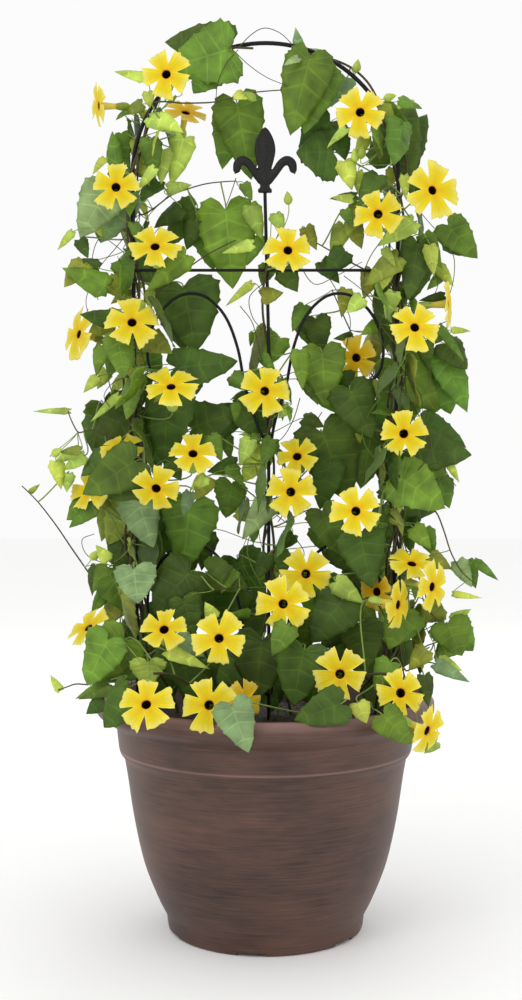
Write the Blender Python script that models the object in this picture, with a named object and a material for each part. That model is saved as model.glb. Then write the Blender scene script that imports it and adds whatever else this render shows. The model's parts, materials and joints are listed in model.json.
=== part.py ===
"""Black eyed susan vine climbing a wire trellis that stands in a turned planter.

Metres, +Z up. The origin is the centre of the planter's flat underside and the viewer stands at -Y.
Places of leaves and blooms are written as the pixel of the photograph they cover and as their depth in
millimetres in front of (-) or behind (+) the trellis; seen() turns the two into a point.
"""

import itertools
import math
import random
from collections import namedtuple

import bmesh
import bpy
from mathutils import Vector
from mathutils.bvhtree import BVHTree

MM = 0.001

# Viewpoint of the photograph, which the places below are read from
PIXEL = 0.93 * MM
AXIS_COLUMN = 265.5
HORIZON_ROW = 452
EYE_DISTANCE = 1.35
EYE_HEIGHT = 0.439

# Planter
LIP_RADIUS = 156 * MM
LIP_TOP = 215 * MM
LIP_DROP = 18 * MM
BAND_RADIUS = 138 * MM
BAND_TOP = 189 * MM
BAND_BOTTOM = 164 * MM
FOOT_RADIUS = 90 * MM
# Radius and height up the bulging body, in mm
BODY = ((91.5, 14), (100.5, 32), (112.5, 63), (121.5, 103), (127.5, 142), (130.5, 159))
WALL = 3.5 * MM
FLOOR = 5 * MM
POT_SEGMENTS = 32
DRAIN_RADIUS = 6 * MM
DRAIN_CIRCLE = 55 * MM
NOTCH_WIDTH = 25 * MM
NOTCH_HEIGHT = 3 * MM
NOTCH_START = 70 * MM
CUT_PAST = 10 * MM
NOTCH_ANGLES = (262, 322, 22, 82, 142, 202)
SOIL_TOP = 188 * MM
SOIL_RIM = 133.5 * MM
SOIL_SEGMENTS = 16

# Trellis
ARCH_RADIUS = 123.7 * MM
ARCH_CENTRE = 695.6 * MM
LEG_LEAN = 0.0099
FRAME_WIRE = 2.5 * MM
ROD_WIRE = 2.0 * MM
SCROLL_WIRE = 1.8 * MM
STAKE_END = 100 * MM
STAKE_SPREAD = 107 * MM
ROD_END = 60 * MM
CROSSBAR = 608 * MM
ROD_TOP = 679.7 * MM
SCROLL_PITCH = 232.5 * MM
FINIAL_THICKNESS = 7 * MM

# Plant
GAP = 0.3 * MM
MARGIN = 0.5 * MM
STEM = 1.35 * MM
SHOOT = 0.9 * MM
STALK = 0.75 * MM
BLADE = 0.8 * MM
PETAL = 0.65 * MM
TWIST_PITCH = 150 * MM
STEM_STEP = 20 * MM
STEM_ROOT = 150 * MM
STEM_LEAN = 85 * MM
TUBE_LENGTH = 17 * MM
EYE_RADIUS = 4.7 * MM
BRACT_LENGTH = 13 * MM
BRACT_RADIUS = 4.6 * MM
LONGEST_STALK = 150 * MM
ROOT_SPACING = 5 * MM
SEED = 11

# How far in mm a piece may move along its sight line to come clear of the others, in the order tried
SHOOT_SHIFTS = (0, 8, -8, 16, -16, 24, -24, 34, -34)
BLOOM_SHIFTS = (0, -6, 6, -12, 12, -18, 18, -26, 26, -36, -46)
LEAF_SHIFTS = (0, 5, -5, 10, -10, 16, -16, 24, -24, 34, -34, 46, -46)
STEM_SLACKS = (0, 2.5 * MM, 5 * MM, 8 * MM)
STEM_TURNS = range(0, 360, 15)

Vine = namedtuple("Vine", "name support phase root climb")
Shoot = namedtuple("Shoot", "vine places")
Bloom = namedtuple("Bloom", "across down depth width yaw pitch turn")
Leaf = namedtuple("Leaf", "base_x base_y tip_x tip_y width depth")

# Stems: what they climb, their angle round it, where they leave the soil (across, back) and their length in mm
VINES = (
    Vine("vine_left_a", "left", 90, (-107, -20), 690),
    Vine("vine_left_b", "left", 270, (-104, 26), 560),
    Vine("vine_left_c", "left", 180, (-90, -36), 450),
    Vine("vine_left_d", "left", 0, (-84, 42), 330),
    Vine("vine_right_a", "right", 270, (107, -20), 680),
    Vine("vine_right_b", "right", 90, (104, 26), 570),
    Vine("vine_right_c", "right", 180, (90, -36), 450),
    Vine("vine_right_d", "right", 0, (84, 42), 330),
    Vine("vine_centre_a", "centre", 200, (-20, -24), 440),
    Vine("vine_centre_b", "centre", 20, (24, 24), 330),
    Vine("vine_low_front_left", "low_front_left", 0, (-38, -52), 0),
    Vine("vine_low_front_right", "low_front_right", 0, (42, -52), 0),
    Vine("vine_low_back_left", "low_back_left", 0, (-40, 58), 0),
    Vine("vine_low_back_right", "low_back_right", 0, (42, 58), 0),
)

# Short stems that sprawl from the soil to the rim: (across, back, up) in mm
LOW_STEMS = {
    "low_front_left": ((-38, -52, 150), (-40, -56, 190), (-56, -76, 225), (-78, -98, 246), (-96, -112, 250)),
    "low_front_right": ((42, -52, 150), (44, -56, 190), (60, -76, 224), (86, -96, 246), (112, -104, 248)),
    "low_back_left": ((-40, 58, 150), (-42, 60, 190), (-58, 74, 240), (-84, 84, 290), (-100, 84, 340)),
    "low_back_right": ((42, 58, 150), (44, 60, 190), (62, 74, 244), (86, 84, 300), (98, 84, 350)),
}

# Side shoots: pixels (across, down) and depth in mm along each, starting near its vine's stem
SHOOTS = (
    Shoot("vine_left_a", ((152, 104, -8), (180, 103, -14), (214, 102, -16), (250, 93, -14), (282, 90, -14))),
    Shoot("vine_left_b", ((140, 214, 12), (170, 196, 18), (205, 184, 16), (236, 181, 14))),
    Shoot("vine_left_c", ((140, 306, -14), (170, 282, -22), (205, 256, -26), (236, 240, -24))),
    Shoot("vine_left_d", ((118, 440, -14), (92, 430, -20), (78, 432, -22), (68, 412, -22))),
    Shoot("vine_left_b", ((112, 600, 16), (84, 566, 18), (58, 528, 18), (38, 502, 16), (22, 486, 14))),
    Shoot("vine_left_d", ((104, 676, -26), (76, 684, -34), (58, 690, -36))),
    Shoot("vine_right_a", ((388, 282, 12), (350, 262, 20), (322, 246, 22), (304, 236, 22))),
    Shoot("vine_right_b", ((392, 398, 14), (370, 372, 20), (350, 330, 22), (332, 290, 22))),
    Shoot("vine_right_c", ((412, 500, -12), (436, 512, -18), (450, 550, -20), (462, 572, -22), (476, 584, -22))),
    Shoot("vine_right_d", ((404, 668, -22), (424, 648, -28), (444, 640, -30))),
    Shoot("vine_right_b", ((410, 256, 12), (428, 236, 18), (446, 226, 20))),
    Shoot("vine_centre_a", ((262, 600, -24), (240, 588, -34), (214, 590, -40))),
    Shoot("vine_centre_b", ((274, 512, 22), (300, 478, 30), (326, 452, 32))),
)

# Blooms: centre pixel, depth in mm, width in mm, facing right and up in degrees, turn about its own axis
BLOOMS = (
    Bloom(166, 74, -42, 46, -8, 4, 10),
    Bloom(98, 106, -8, 40, -68, -4, 20),
    Bloom(186, 112, 34, 42, 18, 48, 0),
    Bloom(116, 187, -46, 43, 6, 4, 36),
    Bloom(360, 112, -44, 46, -10, 2, 6),
    Bloom(433, 190, -64, 53, 22, 6, -20),
    Bloom(378, 214, -52, 43, -6, 0, 14),
    Bloom(155, 246, -62, 46, 0, 30, 0),
    Bloom(132, 322, -70, 47, 4, 20, 30),
    Bloom(78, 334, -10, 50, -52, 10, 10),
    Bloom(288, 250, -38, 44, 4, 14, 36),
    Bloom(415, 327, -60, 46, 6, 18, 0),
    Bloom(449, 304, -2, 44, 74, 2, 20),
    Bloom(356, 358, 26, 42, -16, -6, 24),
    Bloom(171, 386, -64, 48, 0, 44, 0),
    Bloom(265, 391, -48, 46, 8, 4, -22),
    Bloom(404, 434, -64, 42, 4, -8, 30),
    Bloom(121, 448, -30, 42, -6, 52, 0),
    Bloom(193, 453, -66, 43, 4, 34, 36),
    Bloom(156, 489, -76, 43, -4, -22, -14),
    Bloom(90, 490, -16, 44, -34, 30, 10),
    Bloom(297, 456, -18, 40, -8, 30, 10),
    Bloom(291, 492, -58, 46, 6, 4, 36),
    Bloom(356, 511, -70, 45, 2, 12, 16),
    Bloom(306, 574, -50, 46, 2, 6, 0),
    Bloom(283, 604, -84, 48, -4, 6, 18),
    Bloom(412, 563, -52, 44, 10, 56, 0),
    Bloom(433, 587, -76, 46, 46, -4, 20),
    Bloom(399, 605, -88, 44, 54, -6, 0),
    Bloom(376, 592, -10, 36, -38, 0, 20),
    Bloom(88, 627, -48, 42, -46, 46, 0),
    Bloom(164, 629, -92, 40, -2, 34, 36),
    Bloom(219, 638, -98, 48, 0, 24, 0),
    Bloom(340, 674, -108, 46, -2, 12, 0),
    Bloom(401, 693, -104, 41, 10, 12, 14),
    Bloom(428, 731, -122, 42, 48, -12, 20),
    Bloom(146, 704, -122, 46, -6, 36, 36),
    Bloom(209, 705, -134, 47, -4, 16, 16),
    Bloom(245, 700, -100, 38, 44, 20, 0),
)

# Leaves: pixel of the stalk's end, pixel of the apex, width and depth in mm, large ones first
LARGE_LEAVES = (
    Leaf(228, 50, 168, 66, 62, -8),
    Leaf(237, 104, 250, 178, 48, 14),
    Leaf(118, 194, 98, 242, 58, -22),
    Leaf(226, 210, 232, 288, 58, 16),
    Leaf(310, 58, 290, 132, 48, -12),
    Leaf(333, 152, 296, 152, 54, 10),
    Leaf(392, 162, 412, 100, 50, 16),
    Leaf(448, 226, 478, 258, 34, 10),
    Leaf(184, 288, 196, 352, 66, 10),
    Leaf(178, 368, 238, 360, 42, -8),
    Leaf(134, 408, 94, 452, 50, 14),
    Leaf(168, 396, 162, 468, 50, -12),
    Leaf(192, 428, 236, 410, 48, 20),
    Leaf(254, 396, 266, 440, 40, 14),
    Leaf(418, 246, 408, 300, 30, -14),
    Leaf(392, 290, 384, 350, 34, 16),
    Leaf(322, 352, 326, 406, 44, -6),
    Leaf(350, 390, 372, 440, 44, -20),
    Leaf(322, 432, 350, 502, 62, 12),
    Leaf(396, 360, 438, 412, 50, -14),
    Leaf(444, 358, 468, 412, 34, 10),
    Leaf(412, 448, 472, 455, 44, -8),
    Leaf(388, 472, 438, 480, 42, 18),
    Leaf(134, 462, 82, 494, 44, -56),
    Leaf(138, 502, 154, 548, 40, -34),
    Leaf(190, 506, 182, 572, 54, -14),
    Leaf(134, 569, 138, 604, 40, -66),
    Leaf(190, 572, 152, 612, 50, -30),
    Leaf(208, 572, 248, 588, 34, -12),
    Leaf(126, 508, 106, 546, 34, 8),
    Leaf(124, 640, 86, 682, 48, -72),
    Leaf(322, 512, 342, 556, 36, -22),
    Leaf(360, 536, 372, 588, 44, -40),
    Leaf(400, 478, 446, 508, 50, -36),
    Leaf(342, 600, 312, 642, 46, -56),
    Leaf(448, 624, 462, 656, 38, -44),
    Leaf(340, 704, 294, 722, 34, -148),
    Leaf(232, 706, 248, 753, 34, -162),
    Leaf(262, 640, 254, 700, 56, -60),
    Leaf(304, 650, 292, 706, 52, -84),
    Leaf(252, 652, 216, 684, 42, -50),
    Leaf(176, 650, 196, 700, 44, -70),
    Leaf(360, 626, 366, 672, 42, -40),
    Leaf(128, 700, 104, 728, 34, -104),
    Leaf(404, 612, 388, 650, 32, -62),
    Leaf(384, 716, 412, 744, 28, -146),
    Leaf(160, 520, 196, 560, 48, 44),
    Leaf(390, 560, 352, 610, 48, 44),
    Leaf(238, 560, 262, 612, 48, 46),
    Leaf(140, 620, 176, 668, 50, 60),
    Leaf(396, 640, 356, 684, 50, 64),
    Leaf(128, 330, 162, 372, 44, 42),
    Leaf(400, 400, 372, 446, 44, 44),
    Leaf(170, 640, 140, 690, 48, 84),
    Leaf(352, 640, 392, 688, 48, 84),
    Leaf(210, 590, 226, 640, 46, 76),
    Leaf(322, 580, 316, 632, 46, 78),
    Leaf(104, 404, 124, 450, 42, 46),
    Leaf(428, 368, 414, 414, 42, 46),
    Leaf(300, 660, 312, 706, 46, 96),
    Leaf(218, 660, 200, 700, 44, 98),
)
SMALL_LEAVES = (
    Leaf(116, 163, 112, 130, 18, 4),
    Leaf(184, 138, 170, 186, 26, 8),
    Leaf(150, 140, 155, 180, 22, -8),
    Leaf(158, 182, 138, 202, 20, 16),
    Leaf(160, 118, 183, 132, 16, -20),
    Leaf(80, 240, 88, 258, 14, -4),
    Leaf(195, 210, 164, 244, 36, 26),
    Leaf(300, 55, 296, 27, 14, 6),
    Leaf(306, 56, 326, 50, 14, 8),
    Leaf(346, 78, 331, 104, 24, 20),
    Leaf(345, 162, 352, 190, 20, -12),
    Leaf(378, 176, 358, 206, 24, -16),
    Leaf(345, 210, 352, 226, 13, -10),
    Leaf(413, 222, 378, 245, 22, -26),
    Leaf(430, 246, 434, 276, 15, -20),
    Leaf(106, 286, 62, 266, 26, -30),
    Leaf(186, 256, 146, 292, 24, -34),
    Leaf(148, 338, 172, 352, 26, -30),
    Leaf(118, 338, 124, 378, 28, -26),
    Leaf(102, 346, 96, 376, 16, -30),
    Leaf(110, 320, 80, 314, 18, -30),
    Leaf(84, 456, 62, 470, 15, -14),
    Leaf(68, 474, 66, 492, 14, -12),
    Leaf(94, 507, 68, 528, 17, -20),
    Leaf(232, 376, 252, 390, 17, -14),
    Leaf(345, 252, 324, 274, 24, 8),
    Leaf(398, 258, 362, 286, 24, -22),
    Leaf(362, 298, 346, 313, 17, -10),
    Leaf(316, 320, 322, 354, 28, 18),
    Leaf(300, 352, 304, 390, 20, -22),
    Leaf(205, 477, 190, 490, 14, -44),
    Leaf(190, 493, 182, 516, 14, -56),
    Leaf(232, 484, 226, 518, 32, 8),
    Leaf(268, 502, 242, 540, 24, -34),
    Leaf(108, 560, 96, 545, 13, -30),
    Leaf(108, 568, 92, 592, 21, -16),
    Leaf(104, 594, 92, 612, 14, -22),
    Leaf(148, 662, 147, 687, 32, -100),
    Leaf(168, 651, 209, 668, 14, -88),
    Leaf(178, 640, 204, 656, 22, -72),
    Leaf(124, 680, 112, 700, 13, -90),
    Leaf(214, 618, 205, 602, 14, -60),
    Leaf(414, 528, 432, 550, 19, -26),
    Leaf(336, 582, 364, 604, 20, -62),
    Leaf(288, 626, 272, 655, 24, -96),
    Leaf(436, 664, 470, 682, 14, -60),
    Leaf(458, 562, 472, 588, 18, -24),
    Leaf(390, 662, 374, 692, 25, -96),
    Leaf(358, 703, 367, 723, 20, -150),
    Leaf(424, 676, 430, 708, 17, -72),
    Leaf(268, 556, 256, 580, 19, -18),
    Leaf(282, 552, 284, 578, 17, -22),
    Leaf(250, 440, 240, 466, 18, -16),
    Leaf(272, 440, 262, 468, 18, -14),
    Leaf(212, 436, 222, 462, 16, -40),
)

LARGE_SIDE = ((0.42, -0.17), (0.92, -0.08), (0.96, 0.14), (0.68, 0.42), (0.34, 0.74))
SMALL_SIDE = ((0.60, -0.10), (1.00, 0.12), (0.52, 0.62))
MIDRIB = (0.22, 0.62)


def seen(across, down, depth):
    """The point on the sight line through a pixel that lies depth mm behind the trellis."""
    reach = (EYE_DISTANCE + depth * MM) / EYE_DISTANCE
    x = (across - AXIS_COLUMN) * PIXEL * reach
    z = EYE_HEIGHT + (HORIZON_ROW - down) * PIXEL * reach
    return Vector((x, depth * MM, z))


def material(name, colour, roughness, metallic=0.0):
    surface = bpy.data.materials.new(name)
    surface.use_nodes = True
    shader = surface.node_tree.nodes["Principled BSDF"]
    shader.inputs["Base Color"].default_value = (*colour, 1)
    shader.inputs["Roughness"].default_value = roughness
    shader.inputs["Metallic"].default_value = metallic
    surface.diffuse_color = (*colour, 1)
    return surface


def new_object(name, solid, surface=None, collection=None):
    """An object from a (points, faces) pair."""
    mesh = bpy.data.meshes.new(name)
    mesh.from_pydata([tuple(p) for p in solid[0]], [], solid[1])
    mesh.update()
    if surface:
        mesh.materials.append(surface)
    thing = bpy.data.objects.new(name, mesh)
    (collection or bpy.context.scene.collection).objects.link(thing)
    return thing


def smoothed(points, steps):
    """Points along a Catmull-Rom curve through the given ones."""
    ends = [points[0] * 2 - points[1], *points, points[-1] * 2 - points[-2]]
    curve = []
    for a, b, c, d in zip(ends, ends[1:], ends[2:], ends[3:]):
        for step in range(steps):
            t = step / steps
            curve.append(0.5 * (2 * b + (c - a) * t + (2 * a - 5 * b + 4 * c - d) * t * t
                                + (3 * b - a - 3 * c + d) * t ** 3))
    return [*curve, points[-1]]


def bezier(start, near, far, end, steps):
    curve = []
    for step in range(steps + 1):
        t = step / steps
        s = 1 - t
        curve.append(start * s ** 3 + near * 3 * s * s * t + far * 3 * s * t * t + end * t ** 3)
    return curve


def directions(points):
    along = []
    for i in range(len(points)):
        before = points[max(i - 1, 0)]
        after = points[min(i + 1, len(points) - 1)]
        along.append((after - before).normalized())
    return along


def rings_along(points, radii, sides, side=None):
    """Rings of points round a path, carried along it without twisting."""
    along = directions(points)
    side = side or along[0].orthogonal()
    rings = []
    for point, heading, radius in zip(points, along, radii):
        side = (side - heading * side.dot(heading)).normalized()
        other = heading.cross(side)
        ring = []
        for k in range(sides):
            angle = math.tau * (k + 0.5) / sides
            ring.append(point + (side * math.cos(angle) + other * math.sin(angle)) * radius)
        rings.append(ring)
    return rings


def skin(rings):
    """A closed solid from rings of equally many points."""
    sides = len(rings[0])
    points = [p for ring in rings for p in ring]
    faces = [tuple(reversed(range(sides)))]
    for row in range(len(rings) - 1):
        for k in range(sides):
            a = row * sides + k
            b = row * sides + (k + 1) % sides
            faces.append((a, b, b + sides, a + sides))
    faces.append(tuple(range(len(points) - sides, len(points))))
    return points, faces


def tube(points, radius, sides, margin=0.0, taper=1.0):
    count = len(points) - 1
    radii = [radius * (1 + (taper - 1) * i / count) + margin for i in range(len(points))]
    return skin(rings_along(points, radii, sides))


def thickened(points, faces, thickness):
    """A closed solid that lies behind a sheet, alike on both faces."""
    normals = [Vector() for _ in points]
    edges = {}
    for face in faces:
        a, b, c = (points[i] for i in face[:3])
        area = (b - a).cross(c - a)
        for i in face:
            normals[i] += area
        for i, j in zip(face, (*face[1:], face[0])):
            edges[i, j] = True
    count = len(points)
    behind = [p - n.normalized() * thickness for p, n in zip(points, normals)]
    solid = list(faces) + [tuple(i + count for i in reversed(face)) for face in faces]
    for i, j in edges:
        if (j, i) not in edges:
            solid.append((j, i, i + count, j + count))
    return points + behind, solid


class Crowd:
    """The solids placed so far, asked whether a new one would touch any of them."""

    def __init__(self):
        self.members = []

    def add(self, owner, solid):
        self.members.append((owner, *self.boxed(solid)))

    @staticmethod
    def boxed(solid):
        points = solid[0]
        low = [min(p[k] for p in points) for k in range(3)]
        high = [max(p[k] for p in points) for k in range(3)]
        return BVHTree.FromPolygons(points, solid[1]), low, high

    def clear(self, solid, ignore=()):
        tree, low, high = self.boxed(solid)
        for owner, other, other_low, other_high in self.members:
            if owner in ignore:
                continue
            if any(low[k] > other_high[k] or high[k] < other_low[k] for k in range(3)):
                continue
            if other.overlap(tree):
                return False
        return True


def leg_x(height):
    return ARCH_RADIUS - max(ARCH_CENTRE - height, 0) * LEG_LEAN


def frame_point(side, length):
    """The frame's centre line at a length above the soil, on the left (-1) or right (+1) leg."""
    straight = ARCH_CENTRE - SOIL_TOP
    if length < straight:
        height = SOIL_TOP + length
        return Vector((side * leg_x(height), 0, height)), Vector((0, 0, 1)), Vector((side, 0, 0))
    angle = (length - straight) / ARCH_RADIUS
    out = Vector((side * math.cos(angle), 0, math.sin(angle)))
    along = Vector((-side * math.sin(angle), 0, math.cos(angle)))
    return Vector((0, 0, ARCH_CENTRE)) + out * ARCH_RADIUS, along, out


def rod_x(height):
    lean = min(max((height - 540 * MM) / (140 * MM), 0), 1)
    return (3 - 3.5 * lean) * MM


def support_point(support, length):
    if support == "centre":
        height = SOIL_TOP + length
        return Vector((rod_x(height), 0, height)), Vector((0, 0, 1)), Vector((1, 0, 0))
    return frame_point(-1 if support == "left" else 1, length)


def stem_path(vine, slack=0.0):
    """A stem leans from the soil to its support and then twines round it, closely or with some slack."""
    if vine.support in LOW_STEMS:
        return smoothed([Vector(p) * MM for p in LOW_STEMS[vine.support]], 2)
    closest = (ROD_WIRE if vine.support == "centre" else FRAME_WIRE) + STEM + 1.6 * MM + slack
    start = STEM_ROOT - SOIL_TOP
    steps = round((vine.climb * MM - start) / STEM_STEP)
    points = []
    for step in range(steps + 1):
        length = start + (vine.climb * MM - start) * step / steps
        centre, along, out = support_point(vine.support, length)
        turn = math.radians(vine.phase) + math.tau * length / TWIST_PITCH
        twined = centre + (out * math.cos(turn) + along.cross(out) * math.sin(turn)) * closest
        near = min(max(length / STEM_LEAN, 0), 1)
        rooted = Vector((vine.root[0] * MM, vine.root[1] * MM, centre.z))
        points.append(rooted.lerp(twined, near * near * (3 - 2 * near)))
    return points


def leaf_axes(leaf, rng):
    """The leaf's stalk end, its directions along, across and out of the blade, and its length."""
    base = seen(leaf.base_x, leaf.base_y, leaf.depth)
    tip = seen(leaf.tip_x, leaf.tip_y, leaf.depth + rng.uniform(-12, 6))
    along = (tip - base).normalized()
    out = Vector((rng.uniform(-0.35, 0.35), -1, rng.uniform(0.0, 0.5)))
    if leaf.depth > 0:
        out.x *= 0.6
    out = (out - along * out.dot(along)).normalized()
    return base, along, along.cross(out), out, (tip - base).length


def leaf_point(axes, half_width, fold, droop, x, y):
    """A point of the blade: x across in half widths, y along in lengths."""
    base, along, across, out, length = axes
    lift = fold * abs(x) * half_width - droop * y * abs(y) * length
    return base + across * (x * half_width) + along * (y * length) + out * lift


def leaf_blade(leaf, axes, shape, margin=0.0):
    """The blade as a closed solid; its first two points and their partners are where the stalk joins."""
    fold, droop = shape
    large = leaf.width > 26
    side = LARGE_SIDE if large else SMALL_SIDE
    half = leaf.width * MM / 2 + margin
    notch = (STALK + margin) / half
    outline = [(notch, -0.01), *side, (0, 1 + margin / axes[4])]
    outline += [(-x, y) for x, y in reversed(side)]
    outline.append((-notch, -0.01))
    rib = MIDRIB if large else MIDRIB[:1]
    flat = outline + [(0, y) for y in rib]
    points = [leaf_point(axes, half, fold, droop, x, y) for x, y in flat]
    count = len(outline)
    first, last = count, count + len(rib) - 1
    apex = len(side) + 1
    faces = [(0, first, count - 1)]
    for k in range(apex):
        mirrored = count - 1 - k
        rib_here = first if k < (3 if large else 2) else last
        rib_next = first if k + 1 < (3 if large else 2) else last
        faces.append((k, k + 1, rib_here))
        faces.append((mirrored - 1, mirrored, rib_here))
        if rib_here != rib_next:
            faces.append((k + 1, rib_next, rib_here))
            faces.append((mirrored - 1, rib_here, rib_next))
    points = [p + axes[3] * (BLADE / 2 + margin) for p in points]
    return thickened(points, faces, BLADE + 2 * margin), count


def leaf_solid(leaf, axes, shape, stalk):
    """Blade and stalk in one closed skin: the notch's wall is drawn out along the stalk's path."""
    (points, faces), count = leaf_blade(leaf, axes, shape)
    half = len(points) // 2
    right, left = 0, count - 1
    wall = next(f for f in faces if set(f) == {right, left, right + half, left + half})
    faces = [f for f in faces if f is not wall]
    ring = list(wall)
    middle = sum((points[i] for i in wall), Vector()) / 4
    signs = [((points[i] - middle).dot(axes[2]) > 0, (points[i] - middle).dot(axes[3]) > 0) for i in wall]
    side = axes[2]
    for point, heading in list(zip(stalk, directions(stalk)))[-2::-1]:
        side = (side - heading * side.dot(heading)).normalized()
        other = side.cross(heading)
        base = len(points)
        for right_side, front in signs:
            arm = side * (1 if right_side else -1) + other * (1 if front else -1)
            points.append(point + arm * STALK * 0.75)
        fresh = list(range(base, base + 4))
        for k in range(4):
            faces.append((ring[k], ring[(k + 1) % 4], fresh[(k + 1) % 4], fresh[k]))
        ring = fresh
    faces.append(tuple(ring))
    return points, faces


def bloom_axes(bloom, depth):
    yaw = math.radians(bloom.yaw)
    pitch = math.radians(bloom.pitch)
    facing = Vector((math.sin(yaw) * math.cos(pitch), -math.cos(yaw) * math.cos(pitch), math.sin(pitch)))
    across = facing.cross(Vector((0, 0, 1))).normalized() * -1
    up = across.cross(facing) * -1
    if up.z < 0:
        up.negate()
    return seen(bloom.across, bloom.down, depth), facing, facing.cross(up), up


def corolla(bloom, axes, margin=0.0):
    """Five notched lobes round a dark throat, drawn back into a tube: one thickened sheet."""
    centre, facing, across, up = axes
    radius = bloom.width * MM / 2 + margin
    rng = random.Random(bloom.across * 1000 + bloom.down)
    lobes = []
    for lobe in range(5):
        mid = math.radians(bloom.turn - 90) + math.tau * lobe / 5
        size = radius * rng.uniform(0.95, 1.04)
        sway = rng.uniform(-0.06, 0.06)
        half = math.radians(36)
        lobes.append((mid - half, 0.44 * radius, 0.4 * MM))
        lobes.append((mid - half * 0.74 + sway, 0.93 * size, -0.2 * MM))
        lobes.append((mid + sway * 0.5, 0.86 * size, 1.6 * MM))
        lobes.append((mid + half * 0.74 + sway, 0.98 * size, 0.8 * MM))
    start = math.radians(bloom.turn - 90 - 36)
    eye = [(start + math.tau * k / 5, EYE_RADIUS, -0.6 * MM) for k in range(5)]
    neck = [(start + math.tau * k / 5, 2.3 * MM, -TUBE_LENGTH) for k in range(5)]
    points = []
    for angle, distance, height in (*lobes, *eye, *neck):
        points.append(centre + (across * math.cos(angle) + up * math.sin(angle)) * distance + facing * height)
    faces = []
    for lobe in range(5):
        rim = [(lobe * 4 + k) % 20 for k in range(5)]
        eye_a, eye_b = 20 + lobe, 20 + (lobe + 1) % 5
        low, next_low = 25 + lobe, 25 + (lobe + 1) % 5
        faces += [(rim[0], rim[1], eye_a), (eye_a, rim[1], rim[2]), (eye_a, rim[2], eye_b)]
        faces += [(eye_b, rim[2], rim[3]), (eye_b, rim[3], rim[4])]
        faces += [(eye_a, eye_b, low), (eye_b, next_low, low)]
    faces.append((25, 26, 27, 28, 29))
    if margin:
        points = [p + facing * margin for p in points]
    return thickened(points, faces, PETAL + 2 * margin)


def bracts(axes, stalk, margin=0.0):
    """The flower stalk and the swollen pair of bracts, seated just behind the corolla's tube."""
    centre, facing = axes[0], axes[1]
    seat = centre - facing * (TUBE_LENGTH + PETAL + GAP)
    swell = ((1.0, STALK * 1.2), (0.55, BRACT_RADIUS), (0.0, BRACT_RADIUS * 0.55))
    points = list(stalk[:-1])
    radii = [STALK + margin] * len(points)
    for share, radius in swell:
        points.append(seat - facing * (BRACT_LENGTH * share + (margin if share == 0 else 0)))
        radii.append(radius + margin)
    return skin(rings_along(points, radii, 4 if not margin else 5))


def stalk_curve(root, end, arriving, steps):
    """A path from a stem to the leaf's or the bloom's end, arriving in the given direction."""
    span = (end - root).length
    near = root + (end - root) * 0.3 + Vector((0, 0, -0.06 * span))
    far = end - arriving * min(0.4 * span, 18 * MM)
    return bezier(root, near, far, end, steps)


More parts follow.
